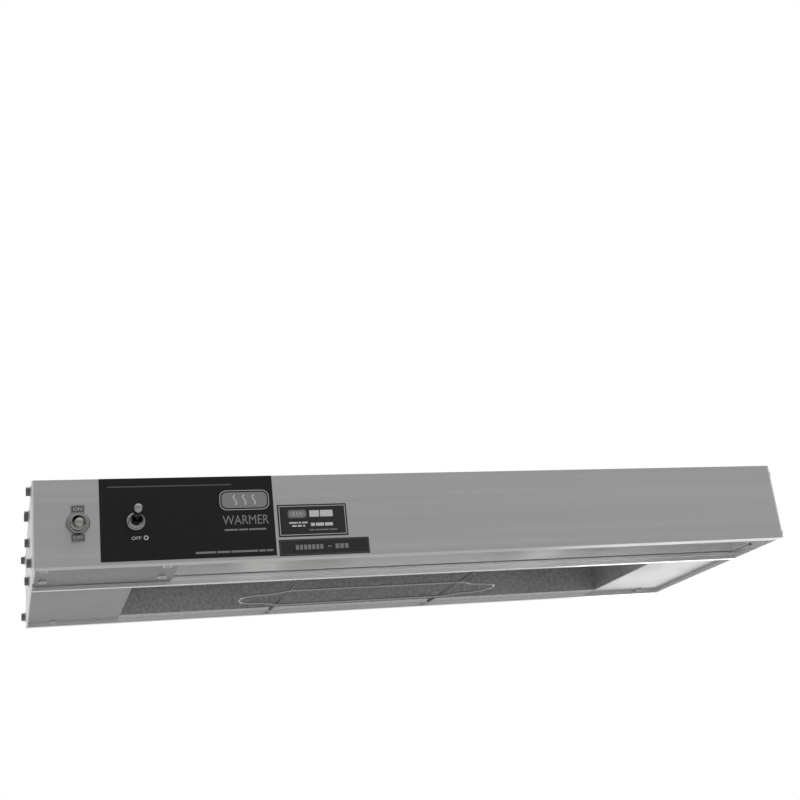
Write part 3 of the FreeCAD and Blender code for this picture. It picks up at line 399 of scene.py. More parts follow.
class Shop:
    """Every finish of the warmer, built once and handed out by name."""

    # name, colour, metallic, roughness, colour swing, roughness swing, bump, bump depth, effect, its values, smudge
    FINISHES = (
        Finish("satin_panel", grey(0.57), 1.0, 0.36, 0.12, 0.06, 0.10, 0.00004, LINES, ALONG_X, 0.05),
        Finish("extruded_channel", grey(0.92), 1.0, 0.26, 0.07, 0.05, 0.03, 0.00003, LINES, ALONG_X, 0.05),
        Finish("end_sheet", grey(0.90), 1.0, 0.38, 0.05, 0.06, 0.10, 0.00004, LINES, ALONG_Y),
        # painted shade: the heater trough's bright sheet gets a far darker base than the lamp trough's, for the shade
        # inside the recess
        Finish("bright_trough", grey(0.52), 1.0, 0.34, 0.55, 0.08, 0.55, 0.00025, MOTTLE,
               (("Scale", 420.0), ("Cloud", 330.0)), 0.10),
        Finish("lamp_trough_sheet", grey(0.94), 1.0, 0.34, 0.05, 0.05, 0.12, 0.0001, MOTTLE, (("Scale", 120.0),)),
        Finish("cover_sheet", grey(0.29), 1.0, 0.30, 0.06, 0.04, 0.03, 0.00005, MOTTLE, COVER_CELLS),
        Finish("box_cover_sheet", grey(0.24), 1.0, 0.30, 0.06, 0.04, 0.03, 0.00005, MOTTLE, COVER_CELLS),
        Finish("scaled_sheath", (0.17, 0.155, 0.145), 0.85, 0.55, 0.30, 0.12, 0.30, 0.0002, MOTTLE,
               (("Scale", 500.0), ("Cloud", 60.0)), 0.10),
        Finish("plated_wire", (0.36, 0.36, 0.355), 1.0, 0.30, 0.10, 0.08, 0.08, 0.00005, SPECKLE,
               (("Scale", 600.0),)),
        # painted shade: a darker copy of the plated wire for the cross wires, so they sit dark in the recess's shade
        # without highlights
        Finish("dull_wire", grey(0.18), 1.0, 0.60, 0.15, 0.08, 0.10),
        Finish("dark_steel", (0.16, 0.16, 0.165), 1.0, 0.38, 0.14, 0.10, 0.12, 0.00005, SPECKLE, STEEL_GRAIN),
        Finish("zinc_steel", (0.46, 0.47, 0.48), 1.0, 0.34, 0.14, 0.10, 0.12, 0.00005, SPECKLE, STEEL_GRAIN),
        # painted shade: the nickel's base is darkened well below bright plate, to stand in for the dark reflections on
        # the switch metal
        Finish("nickel", (0.36, 0.357, 0.35), 1.0, 0.14, 0.05, 0.05, 0.04, 0.00003, SPECKLE, (("Scale", 400.0),)),
        Finish("brass", (0.72, 0.52, 0.22), 1.0, 0.30, 0.12, 0.10, 0.06, 0.00005, SPECKLE, STEEL_GRAIN),
        Finish("porcelain", (0.86, 0.84, 0.80), 0.0, 0.22, 0.05, 0.06, 0.05, 0.0001, SPECKLE,
               (("Scale", 350.0),), coat=0.5),
        Finish("frosted_glass", (0.96, 0.95, 0.92), 0.0, 0.42, 0.02, 0.04, 0.05, smudge=0.04, transmission=0.75),
        Finish("black_enamel", grey(0.007), 0.0, 0.32, 0.20, 0.06, 0.05, 0.00005, SPECKLE, (("Scale", 700.0),),
               0.12, specular=0.30),
        Finish("printed_film", grey(0.026), 0.0, 0.38, 0.20, 0.08, 0.06, 0.00005, SPECKLE, (("Scale", 800.0),),
               0.08, specular=0.3),
        Finish("light_ink", grey(0.62), colour_swing=0.08, bump_depth=0.00003, smudge=0.04),
        Finish("mid_ink", grey(0.24), bump_depth=0.00003, smudge=0.04),
        Finish("dim_ink", grey(0.22), bump_depth=0.00003, smudge=0.04),
        Finish("grey_ink", grey(0.10), bump_depth=0.00003, smudge=0.04),
        Finish("phenolic", (0.028, 0.026, 0.025), 0.0, 0.42, 0.25, 0.10, 0.20, 0.0001),
        Finish("green_lacquer", (0.05, 0.26, 0.08), 0.0, 0.30, 0.15, 0.06, 0.05, coat=0.4),
        Finish("rubber", grey(0.025), 0.0, 0.70, 0.20, 0.08, 0.20, 0.0001),
        Finish("glass_braid", (0.66, 0.63, 0.56), 0.0, 0.75, 0.18, 0.08, 0.80, 0.0003, MOTTLE,
               (("Scale", 1400.0),)),
    )

    def __init__(self) -> None:
        """Build the finishes."""
        effects = Effects()
        self._made = {finish.name: finish.build(effects) for finish in self.FINISHES}

    def __getitem__(self, name: str) -> bpy.types.Material:
        """The material of that name."""
        return self._made[name]


# ---- shaping ----------------------------------------------------------------------------------

class Workpiece:
    """A mesh in the making: shapes are added one at a time, each in its finish."""

    SHARP = math.radians(32)

    def __init__(self, name: str, shop: Shop) -> None:
        """Start an empty mesh.

        Args:
            name: The finished object's name.
            shop: Where its finishes come from.
        """
        self.name = name
        self.shop = shop
        self.bm = bmesh.new()
        self.finishes: list[str] = []

    def add(self, shape: bmesh.types.BMesh, finish: str, matrix: Matrix = Matrix.Identity(4)) -> None:
        """Clean a closed shape, place it and add it.

        Args:
            shape: The shape, which is freed.
            finish: Name of its finish.
            matrix: Where it goes.
        """
        bmesh.ops.remove_doubles(shape, verts=shape.verts, dist=SEAM_WELD)
        bmesh.ops.recalc_face_normals(shape, faces=shape.faces)
        bmesh.ops.transform(shape, matrix=matrix, verts=shape.verts)
        if finish not in self.finishes:
            self.finishes.append(finish)
        for face in shape.faces:
            face.material_index = self.finishes.index(finish)
            face.smooth = True
        store = bpy.data.meshes.new("store")
        shape.to_mesh(store)
        shape.free()
        self.bm.from_mesh(store)
        bpy.data.meshes.remove(store)

    def turned(self, outline: Sequence[Corner], facing: Facing, place: Corner, finish: str,
               segments: int = 40) -> None:
        """Add a lathe shape.

        Args:
            outline: (radius, height) pairs in metres, from one end of the axis to the other.
            facing: Where the axis points.
            place: Where height 0 lies.
            finish: Name of its finish.
            segments: Steps round the axis.
        """
        self.add(lathe(outline, segments), finish, facing.matrix(place))

    def bar(self, low: Corner, high: Corner, finish: str) -> None:
        """Add a block.

        Args:
            low: Its lowest corner.
            high: Its highest corner.
            finish: Name of its finish.
        """
        span = Block(Vector(low), Vector(high))
        shape = bmesh.new()
        bmesh.ops.create_cube(shape, size=1.0)
        bmesh.ops.scale(shape, vec=span.size, verts=shape.verts)
        self.add(shape, finish, Matrix.Translation(span.centre))

    def flat(self, outline: Sequence[Corner], thickness: float, place: Corner, finish: str,
             bevel: float = 0.0) -> None:
        """Add a flat shape of an outline, standing out to the front from its place.

        Args:
            outline: (across, up) corners in metres, in order.
            thickness: How far it stands out.
            place: Where the outline's origin lies.
            finish: Name of its finish.
            bevel: Rounding of its edges, or 0.
        """
        shape = bmesh.new()
        shape.faces.new([shape.verts.new((x, y, 0.0)) for x, y in outline])
        grown = bmesh.ops.extrude_face_region(shape, geom=shape.faces[:], use_keep_orig=True)
        lifted = [item for item in grown["geom"] if isinstance(item, bmesh.types.BMVert)]
        bmesh.ops.translate(shape, vec=(0.0, 0.0, thickness), verts=lifted)
        if bevel > 0:
            round_edges(shape, shape.edges[:], bevel)
        self.add(shape, finish, Facing.FRONT.matrix(place))

    def word(self, text: str, tall: float, place: Corner, finish: str, thickness: float,
             widen: float = 1.0) -> None:
        """Add a plain word that faces the front, as thin raised ink centred on its place.

        Args:
            text: The word.
            tall: Height of its capitals.
            place: Its centre.
            finish: Name of its finish.
            thickness: How far the ink stands up.
            widen: Stretch along the line.
        """
        curve = bpy.data.curves.new("word", "FONT")
        curve.body = text
        curve.size = tall / 0.70
        curve.align_x = "CENTER"
        curve.extrude = thickness / 2
        shape = curve_shape(curve)
        bmesh.ops.translate(shape, vec=(0, -tall / 2, thickness / 2), verts=shape.verts)
        bmesh.ops.scale(shape, vec=(widen, 1, 1), verts=shape.verts)
        self.add(shape, finish, Facing.FRONT.matrix(place))

    def wire(self, path: Sequence[Corner], radius: float, finish: str, bend: float) -> None:
        """Add a round wire along straight runs with rounded corners.

        Args:
            path: The corners of its route, in metres.
            radius: Half its thickness.
            finish: Name of its finish.
            bend: How far from a corner its bend starts, at most.
        """
        self.add(bent_wire(path, radius, bend), finish)

    def pan_screw(self, facing: Facing, place: Corner, finish: str, shank: float) -> None:
        """Add a pan head screw with a cross recess, its head on the place.

        Args:
            facing: Where its head points.
            place: The seat of its head.
            finish: Name of its finish.
            shank: How far its shank goes in.
        """
        turn = Matrix.Rotation(math.radians(17 + 1000 * (place[0] + place[1])), 4, "Z")
        self.add(pan_head(PAN_RADIUS, PAN_HEIGHT), finish, facing.matrix(place) @ turn)
        core = PAN_RADIUS * 0.48
        self.turned([(0, -shank), (core, -shank), (core, 0.0002), (0, 0.0002)], facing, place, finish, 16)

    def hexagon(self, radius: float, height: float, bore: float, facing: Facing, place: Corner,
                finish: str) -> None:
        """Add a chamfered hexagonal nut with a bore.

        Args:
            radius: Half its width over the corners.
            height: Its height.
            bore: Radius of its hole.
            facing: Where its axis points.
            place: The middle of its lower face.
            finish: Name of its finish.
        """
        chamfer = radius * 0.08
        shape = lathe([(bore, 0), (radius * 0.9, 0), (radius, chamfer), (radius, height - chamfer),
                       (radius * 0.9, height), (bore, height), (bore, 0)], 36)
        for vert in shape.verts:
            reach = math.hypot(vert.co.x, vert.co.y)
            if reach > bore * 1.2:
                turn = math.atan2(vert.co.y, vert.co.x) % (math.pi / 3) - math.pi / 6
                vert.co.xy *= min(reach, radius * math.cos(math.pi / 6) / math.cos(turn)) / reach
        self.add(shape, finish, facing.matrix(place))

    def finish(self, node: str = "", slot: str = "", body: str = WARMER) -> bpy.types.Object:
        """Make the object, hang it on its body and log it.

        Args:
            node: The CAD node it stands for, or none.
            slot: The record's material slot; not used.
            body: The CAD body it rides.

        Returns:
            The finished object.
        """
        mesh = bpy.data.meshes.new(self.name)
        self.bm.to_mesh(mesh)
        self.bm.free()
        for name in self.finishes:
            mesh.materials.append(self.shop[name])
        mesh.set_sharp_from_angle(angle=self.SHARP)
        piece = bpy.data.objects.new(self.name, mesh)
        bpy.context.scene.collection.objects.link(piece)
        piece.modifiers.new("weighted_normals", "WEIGHTED_NORMAL").keep_sharp = True
        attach(piece, body)
        if node:
            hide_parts(node)
        LOG.info("%s: %d faces on %s, for %s", self.name, len(mesh.polygons), body, node or "itself")
        return piece


def lathe(outline: Sequence[Corner], segments: int) -> bmesh.types.BMesh:
    """Spin an outline once round +Z.

    Args:
        outline: (radius, height) pairs in metres.
        segments: Steps round the axis.

    Returns:
        The closed shape.
    """
    shape = bmesh.new()
    verts = [shape.verts.new((radius, 0.0, height)) for radius, height in outline]
    edges = [shape.edges.new(pair) for pair in zip(verts, verts[1:])]
    bmesh.ops.spin(shape, geom=verts + edges, cent=(0, 0, 0), axis=(0, 0, 1), dvec=(0, 0, 0),
                   angle=2 * math.pi, steps=segments, use_merge=True, use_duplicate=False)
    bmesh.ops.remove_doubles(shape, verts=shape.verts, dist=SEAM_WELD)
    return shape


def ridges(count: int, crest: float, root: float, start: float, length: float) -> Outline:
    """The outline of a thread, crest and root in turn.

    Args:
        count: How many points.
        crest: Radius at the even points.
        root: Radius at the odd points.
        start: Height of the first point.
        length: Height that the points share.

    Returns:
        (radius, height) pairs.
    """
    return [(root if step % 2 else crest, start + length * step / count) for step in range(count)]


def arc(across: float, along: float, base: float, turns: tuple[float, float], steps: int) -> Outline:
    """Part of an ellipse about the axis, without its first point.

    Args:
        across: Its half-axis across the axis.
        along: Its half-axis along the axis.
        base: Height of its centre.
        turns: Angles of its ends, in radians.
        steps: How many points.

    Returns:
        (radius, height) pairs.
    """
    angles = [turns[0] + (turns[1] - turns[0]) * step / steps for step in range(1, steps + 1)]
    return [(across * math.cos(angle), base + along * math.sin(angle)) for angle in angles]


def round_edges(shape: bmesh.types.BMesh, edges: Sequence[bmesh.types.BMEdge], width: float) -> None:
    """Round some edges of a shape.

    Args:
        shape: The shape.
        edges: Which of its edges.
        width: How far the rounding reaches.
    """
    bmesh.ops.bevel(shape, geom=edges, offset=width, offset_type="OFFSET", segments=2, profile=0.5,
                    affect="EDGES", clamp_overlap=True, material=-1)


def pan_head(radius: float, height: float) -> bmesh.types.BMesh:
    """Make a domed screw head on z = 0 with a cross recess in its top.

    Args:
        radius: Half its width.
        height: Its height.

    Returns:
        The closed shape.
    """
    dome = ((0, 1), (0.26, 1), (0.54, 0.98), (0.80, 0.84), (0.95, 0.55), (1, 0.22), (1, 0), (0, 0))
    shape = lathe([(reach * radius, rise * height) for reach, rise in dome], 24)
    recess = []
    for face in shape.faces:
        centre = face.calc_center_median()
        reach = math.hypot(centre.x, centre.y)
        turn = (math.degrees(math.atan2(centre.y, centre.x)) + 45) % 90 - 45
        if centre.z > 0.9 * height and (reach < 0.25 * radius or (reach < 0.54 * radius and abs(turn) < 15)):
            recess.append(face)
    bmesh.ops.inset_region(shape, faces=recess, thickness=0.03 * radius, depth=-0.45 * height,
                           use_even_offset=True)
    return shape


def curve_shape(curve: bpy.types.Curve) -> bmesh.types.BMesh:
    """Turn a curve into a mesh shape.

    Args:
        curve: The curve, which is removed.

    Returns:
        The shape.
    """
    holder = bpy.data.objects.new("holder", curve)
    mesh = bpy.data.meshes.new_from_object(holder)
    shape = bmesh.new()
    shape.from_mesh(mesh)
    bpy.data.objects.remove(holder)
    bpy.data.curves.remove(curve)
    bpy.data.meshes.remove(mesh)
    return shape


def bent_wire(path: Sequence[Corner], radius: float, bend: float) -> bmesh.types.BMesh:
    """Make a round wire from a Bezier curve with a bend at each corner.

    Args:
        path: The corners of its route, in metres.
        radius: Half its thickness.
        bend: How far from a corner its bend starts, at most.

    Returns:
        The closed shape.
    """
    corners = [Vector(corner) for corner in path]
    knots = [(corners[0],) * 3]
    for before, corner, after in zip(corners, corners[1:], corners[2:]):
        reach = min(bend, 0.45 * (corner - before).length, 0.45 * (after - corner).length)
        start = corner + (before - corner).normalized() * reach
        end = corner + (after - corner).normalized() * reach
        knots.append((start, start, start.lerp(corner, 0.55)))
        knots.append((end, end.lerp(corner, 0.55), end))
    knots.append((corners[-1],) * 3)
    curve = bpy.data.curves.new("route", "CURVE")
    curve.dimensions = "3D"
    curve.resolution_u = 8
    curve.bevel_depth = radius
    curve.bevel_resolution = 4
    curve.use_fill_caps = True
    spline = curve.splines.new("BEZIER")
    spline.bezier_points.add(len(knots) - 1)
    for point, (place, left, right) in zip(spline.bezier_points, knots):
        point.handle_left_type = point.handle_right_type = "FREE"
        point.co, point.handle_left, point.handle_right = place, left, right
    return curve_shape(curve)


def cad_shape(node: str) -> bmesh.types.BMesh:
    """A merged copy of a CAD node's mesh."""
    shape = bmesh.new()
    shape.from_mesh(frame["nodes"][node].data)
    bmesh.ops.remove_doubles(shape, verts=shape.verts, dist=CAD_WELD)
    return shape


def islands(node: str) -> list[Block]:
    """Find the separate solids of a CAD node.

    Args:
        node: The CAD node.

    Returns:
        The box of each solid, from left to right.
    """
    shape = cad_shape(node)
    left = set(shape.verts)
    spans = []
    while left:
        heap = [left.pop()]
        group = []
        while heap:
            vert = heap.pop()
            group.append(vert.co.copy())
            for edge in vert.link_edges:
                other = edge.other_vert(vert)
                if other in left:
                    left.remove(other)
                    heap.append(other)
        spans.append(Block(*(Vector([pick(point[axis] for point in group) for axis in range(3)])
                             for pick in (min, max))))
    shape.free()
    return sorted(spans, key=lambda span: tuple(round(value, 4) for value in span.low))


def coat(shop: Shop, nodes: Sequence[str], finish: str) -> None:
    """Give CAD nodes whose shape stays a finish.

    Args:
        shop: Where the finish comes from.
        nodes: The CAD nodes.
        finish: Name of the finish.
    """
    for node in nodes:
        mesh = frame["nodes"][node].data
        mesh.materials.clear()
        mesh.materials.append(shop[finish])
        LOG.info("%s: kept as modelled, in %s", node, finish)


# ---- sub-assemblies ---------------------------------------------------------------------------

@dataclass
class SubAssembly:
    """What every sub-assembly shares: the finishes, and the ways to make its pieces."""

    shop: Shop

    def piece(self, name: str) -> Workpiece:
        """Start a new piece."""
        return Workpiece(name, self.shop)

    def soften(self, node: str, name: str, finish: str, width: float, slot: str) -> None:
        """Copy a CAD node with its sharp edges rounded, and let the copy stand for the node.

        Args:
            node: The CAD node.
            name: The new piece's name.
            finish: Name of its finish.
            width: Rounding, in metres.
            slot: The record's material slot.
        """
        shape = cad_shape(node)
        bmesh.ops.dissolve_limit(shape, angle_limit=math.radians(0.5), verts=shape.verts, edges=shape.edges)
        sharp = [edge for edge in shape.edges if edge.is_manifold and edge.calc_face_angle() > math.radians(35)]
        round_edges(shape, sharp, width)
        work = self.piece(name)
        work.add(shape, finish)
        work.finish(node, slot)

    def turn(self, node: str, name: str, finish: str, slot: str, outline: Sequence[Corner], facing: Facing,
             place: Corner, segments: int = 40) -> None:
        """Make a piece of one lathe shape, which stands for a CAD node.

        Args:
            node: The CAD node.
            name: The new piece's name.
            finish: Name of its finish.
            slot: The record's material slot.
            outline: (radius, height) pairs in metres.
            facing: Where the axis points.
            place: Where height 0 lies.
            segments: Steps round the axis.
        """
        work = self.piece(name)
        work.turned(outline, facing, place, finish, segments)
        work.finish(node, slot)

    def pan_screws(self, node: str, shank: float, finish: str = "zinc_steel") -> None:
        """Build the pan head screws of a CAD node, one to a solid, their heads pointing down.

        Args:
            node: The CAD node.
            shank: How far a shank goes in.
            finish: Name of their finish.
        """
        work = self.piece(node[:-1] + "_set")
        for screw in islands(node):
            work.pan_screw(Facing.DOWN, screw.at(z=screw.low.z + PAN_HEIGHT), finish, shank)
        work.finish(node, "zinc_steel")


@dataclass
class Housings(SubAssembly):
    """The two shells, their end plates, and the screws and rivets that hold them."""

    edge: float = 0.0003
    washer_gauge: float = 0.0008
    screw_core: float = 0.0012
    thread: float = 0.0016

    def build(self) -> None:
        """Dress the shells and build the fasteners."""
        self.soften("light_housing", "light_box_shell", "satin_panel", self.edge, "housing")
        self.soften("heater_housing", "heater_channel", "extruded_channel", self.edge * 0.6, "housing")
        for facing in ENDS:
            for section in ("heater", "light"):
                self.soften(f"{section}_end_{facing.side}", f"{section}_end_plate_{facing.side}", "end_sheet",
                            self.edge, "end_plate")
        self._end_screws()
        self._rivets()
        self._inserts()

    def _end_screws(self) -> None:
        """Hexagonal washer head screws on both ends."""
        core, thread, gauge = self.screw_core, self.thread, self.washer_gauge
        for facing in ENDS:
            plate = box(f"heater_end_{facing.side}")
            face, tip = (plate.low.x, CAD_LOW.x) if facing is Facing.LEFT else (plate.high.x, CAD_HIGH.x)
            tall = abs(tip - face)
            work = self.piece(f"end_screw_set_{facing.side}")
            for screw in islands(f"end_screws_{facing.side}"):
                place = screw.at(x=face)
                washer = screw.size.y / 2
                shank = screw.size.x - tall
                work.turned([(0, 0), (washer, 0), (washer, gauge / 2), (washer * 0.93, gauge), (0, gauge)], facing,
                            place, "zinc_steel", 28)
                work.hexagon(washer * 0.786, tall - 0.0006, 0.0008, facing, place + facing.way * 0.0006, "dark_steel")
                work.turned([(0, 0), (core, 0), (core, tall - 0.0009), (0, tall - 0.0012)], facing, place,
                            "dark_steel", 16)
                work.turned([(0, -shank), (core, -shank), (thread, -shank + 0.001), (thread, 0.0002), (0, 0.0002)],
                            facing, place, "zinc_steel", 16)
            work.finish(f"end_screws_{facing.side}", "zinc_steel")

    def _rivets(self) -> None:
        """Domed rivets along the seam and at the right end."""
        work = self.piece("seam_rivet_set")
        dome = [(0, 0.0012), (0.0012, 0.0011), (0.0024, 0.0007), (0.0030, 0.0002), (0.0030, 0), (0, 0)]
        for rivet in islands("seam_rivets"):
            work.turned(dome, Facing.BACK, rivet.at(y=rivet.high.y - 0.001), "zinc_steel", 24)
            work.turned(dome, Facing.FRONT, rivet.at(y=rivet.low.y + 0.0008), "zinc_steel", 24)
            work.turned([(0, 0), (self.thread, 0), (self.thread, 0.003), (0, 0.003)], Facing.FRONT,
                        rivet.at(y=rivet.high.y - 0.0009), "zinc_steel", 16)
        work.finish("seam_rivets", "zinc_steel")
        work = self.piece("end_rivet_set")
        for rivet in islands("light_end_rivets"):
            work.turned([(0, 0.0010), (0.0010, 0.0009), (0.0018, 0.0005), (0.0021, 0), (0, 0)], Facing.LEFT,
                        rivet.at(x=rivet.low.x + 0.0009), "zinc_steel", 20)
        work.finish("light_end_rivets", "zinc_steel")

    def _inserts(self) -> None:
        """Threaded inserts: a thin flange on the top, a barrel and a ribbed bore."""
        work = self.piece("shelf_insert_set")
        for insert in islands("shelf_inserts"):
            radius, deep = insert.size.x / 2, insert.size.z
            bore = radius * 0.56
            turns = 11
            work.turned([(bore * 1.15, 0.0005), (radius * 1.35, 0.0005), (radius * 1.45, 0.0001), (radius * 1.45, 0),
                         (radius, 0), (radius, -deep + 0.0004), (radius * 0.93, -deep), (bore, -deep),
                         *ridges(turns, bore * 1.12, bore, -deep + deep * 0.5 / turns, deep),
                         (bore * 1.15, 0.0005)], Facing.UP, insert.at(z=insert.high.z), "zinc_steel", 32)
        work.finish("shelf_inserts", "zinc_steel")


@dataclass
class HeaterRecess(SubAssembly):
    """The bright trough with its element, guard and end compartments."""

    edge: float = 0.00025
    wire: float = 0.0010
    bar_reach: float = 0.076
    neck_reach: float = 0.079
    shoulder_reach: float = 0.087
    loop_half: float = 0.030
    shoulder_half: float = 0.020
    end_half: float = 0.014
    loop_bend: float = 0.012
    hook_bend: float = 0.0018

    def build(self) -> None:
        """Dress the sheets and build the element, its fittings and the guard."""
        # the trough and its end sheets take the dimmed sheet: painted recess shade
        self.soften("heater_reflector", "heater_trough", "bright_trough", self.edge, "bright_reflector")
        for facing in ENDS:
            side = facing.side
            self.soften(f"reflector_end_{side}", f"trough_end_{side}", "bright_trough", self.edge,
                        "bright_reflector")
            self.soften(f"terminal_cover_{side}", f"end_cover_{side}", "cover_sheet", self.edge, "cover")
        self._element()
        self._element_ends()
        self._guard()
        self.pan_screws("terminal_cover_screws", 0.005)

    def _element(self) -> None:
        """The sheathed element with rolled ends."""
        element = box("heating_element")
        radius, half = element.size.z / 2, element.size.x / 2
        roll = 0.0025
        outline = [(0, -half), (radius * 0.75, -half), (radius * 0.94, -half + 0.0010),
                   *((radius, -half + roll + step * 2 * (half - roll) / 12) for step in range(13)),
                   (radius * 0.94, half - 0.0010), (radius * 0.75, half), (0, half)]
        self.turn("heating_element", "element_sheath", "scaled_sheath", "element_sheath", outline, Facing.RIGHT,
                  element.centre)

    def _element_ends(self) -> None:
        """A threaded pin, a nut and a porcelain bush at each end of the element, and its hangers."""
        element = box("heating_element")
        radius = element.size.z / 2
        pins, nuts, bushes = (self.piece(f"element_{name}_set") for name in ("pin", "nut", "bush"))
        for pin, nut, bush, facing in zip(islands("element_pins"), islands("element_nuts"),
                                          islands("element_bushes"), ENDS):
            starts = [element.at(x=piece.high.x if facing is Facing.LEFT else piece.low.x)
                      for piece in (pin, nut, bush)]
            stem, length, turns = pin.size.z / 2, pin.size.x, 24
            pins.turned([(0, 0), (stem, 0), *ridges(turns, stem, stem * 0.82, length * 0.5 / turns, length),
                         (stem * 0.7, length), (0, length)], facing, starts[0], "plated_wire", 24)
            nuts.hexagon(nut.size.z / 2, nut.size.x, stem, facing, starts[1], "zinc_steel")
            rim, depth = bush.size.z / 2, bush.size.x
            bushes.turned([(radius, 0), (rim - 0.0006, 0), (rim, 0.0006), (rim, depth * 0.55),
                           (rim * 0.88, depth * 0.62), (rim * 0.88, depth - 0.0006), (rim * 0.8, depth),
                           (radius, depth), (radius, 0)], facing, starts[2], "porcelain")
        pins.finish("element_pins", "plated_wire")
        nuts.finish("element_nuts", "plated_wire")
        bushes.finish("element_bushes", "ceramic")
        self.soften("element_hangers", "element_hanger_set", "plated_wire", 0.0002, "plated_wire")

    def _guard(self) -> None:
        """The wire guard: a long loop welded under two cross wires with turned-up ends."""
        guard = box("wire_guard")
        radius = self.wire
        loop_z = guard.low.z + radius
        cross_z = loop_z + 2 * radius - 0.0002
        end_reach, hook = guard.size.x / 2 - radius, guard.size.y / 2 - radius
        work = self.piece("wire_guard_frame")
        for side in (-1, 1):
            half_loop = ((0, self.loop_half), (self.neck_reach, self.loop_half),
                         (self.shoulder_reach, self.shoulder_half), (end_reach, self.end_half))
            path = [(reach, -half) for reach, half in half_loop] + list(reversed(half_loop))
            work.wire([guard.centre + Vector((side * x, y, loop_z - guard.centre.z)) for x, y in path], radius,
                      "plated_wire", self.loop_bend)
            cross = guard.centre + Vector((side * self.bar_reach, 0, cross_z - guard.centre.z))
            top = guard.high.z - cross_z
            # the cross wires take the darkened wire copy: painted shade
            work.wire([cross + Vector((0, y, z)) for y, z in ((-hook, top), (-hook, 0), (hook, 0), (hook, top))],
                      radius, "dull_wire", self.hook_bend)
            for across in (-self.loop_half, self.loop_half):
                work.turned([(0, -0.0010), (0.0010, -0.0007), (0.0014, 0), (0.0010, 0.0007), (0, 0.0010)], Facing.UP,
                            cross + Vector((0, across, (loop_z - cross_z) / 2)), "plated_wire", 16)
        work.finish("wire_guard", "plated_wire")


@dataclass
class LampTrough(SubAssembly):
    """The lamp compartment: bright sheet, two lamps, their holders and brackets."""

    edge: float = 0.00025
    glass_wall: float = 0.0007
    holder_gap: float = 0.0006

    def build(self) -> None:
        """Dress the sheets and build both lamps."""
        self.soften("lamp_reflector", "lamp_trough", "lamp_trough_sheet", self.edge, "bright_reflector")
        for facing in ENDS:
            self.soften(f"lamp_end_{facing.side}", f"lamp_trough_end_{facing.side}", "lamp_trough_sheet",
                        self.edge, "bright_reflector")
            self._lamp(facing.side)
        self.soften("lamp_brackets", "lamp_bracket_set", "zinc_steel", 0.0003, "zinc_steel")
        self.pan_screws("lamp_bracket_screws", box("lamp_bracket_screws").size.z - PAN_HEIGHT)
        contacts = self.piece("lamp_contact_set")
        for contact in islands("lamp_contacts"):
            radius, depth = contact.size.z / 2, contact.size.x
            contacts.turned([(0, 0), (radius * 0.8, 0), (radius, depth * 0.3), (radius, depth), (0, depth)],
                            Facing.LEFT, contact.at(x=contact.high.x), "brass", 24)
        contacts.finish("lamp_contacts", "brass")

    def _lamp(self, side: str) -> None:
        """One lamp: blown envelope, threaded cap and porcelain holder.

        Args:
            side: left or right.
        """
        glass = box(f"lamp_glass_{side}")
        ball, length, wall = glass.size.z / 2, glass.size.x, self.glass_wall
        neck = ball * 0.565
        outer = [(neck, 0.0)]
        for share in (step / 8 for step in range(1, 9)):
            outer.append((neck + (ball - neck) * (0.5 - 0.5 * math.cos(math.pi * share)), (length - ball) * share))
        outer += arc(ball, ball, length - ball, (0, math.pi / 2), 12)
        inner = [(max(0.0, reach - wall), min(rise, length - wall)) for reach, rise in outer]
        self.turn(f"lamp_glass_{side}", f"lamp_envelope_{side}", "frosted_glass", "glass",
                  outer + inner[::-1][1:] + [outer[0]], Facing.RIGHT, glass.at(x=glass.low.x), 48)
        cap = box(f"lamp_cap_{side}")
        radius, depth = cap.size.z / 2, cap.size.x
        outline = [(radius * 0.9, 0.0002), *ridges(12, radius, radius * 0.90, depth * 0.12, depth * 0.6),
                   (radius * 0.86, depth * 0.76), (radius * 0.5, depth * 0.9), (radius * 0.34, depth * 0.92),
                   (radius * 0.30, depth), (0, depth), (0, 0.0002), (radius * 0.9, 0.0002)]
        self.turn(f"lamp_cap_{side}", f"lamp_screw_cap_{side}", "brass", "brass", outline, Facing.LEFT,
                  glass.at(x=cap.high.x))
        holder = box(f"lamp_holder_{side}")
        radius, depth = holder.size.z / 2, holder.size.x
        well, groove = neck + self.holder_gap, radius - 0.0012
        outline = [(well, 0), (radius - 0.0015, 0), (radius, 0.0015), (radius, depth * 0.32),
                   (groove, depth * 0.36), (groove, depth * 0.42), (radius, depth * 0.46), (radius, depth * 0.80),
                   (radius - 0.0015, depth * 0.86), (radius * 0.82, depth * 0.88), (radius * 0.82, depth),
                   (0, depth), (0, depth - 0.006), (well, depth - 0.008), (well, 0)]
        self.turn(f"lamp_holder_{side}", f"lamp_porcelain_{side}", "porcelain", "ceramic", outline, Facing.LEFT,
                  glass.at(x=holder.high.x), 48)


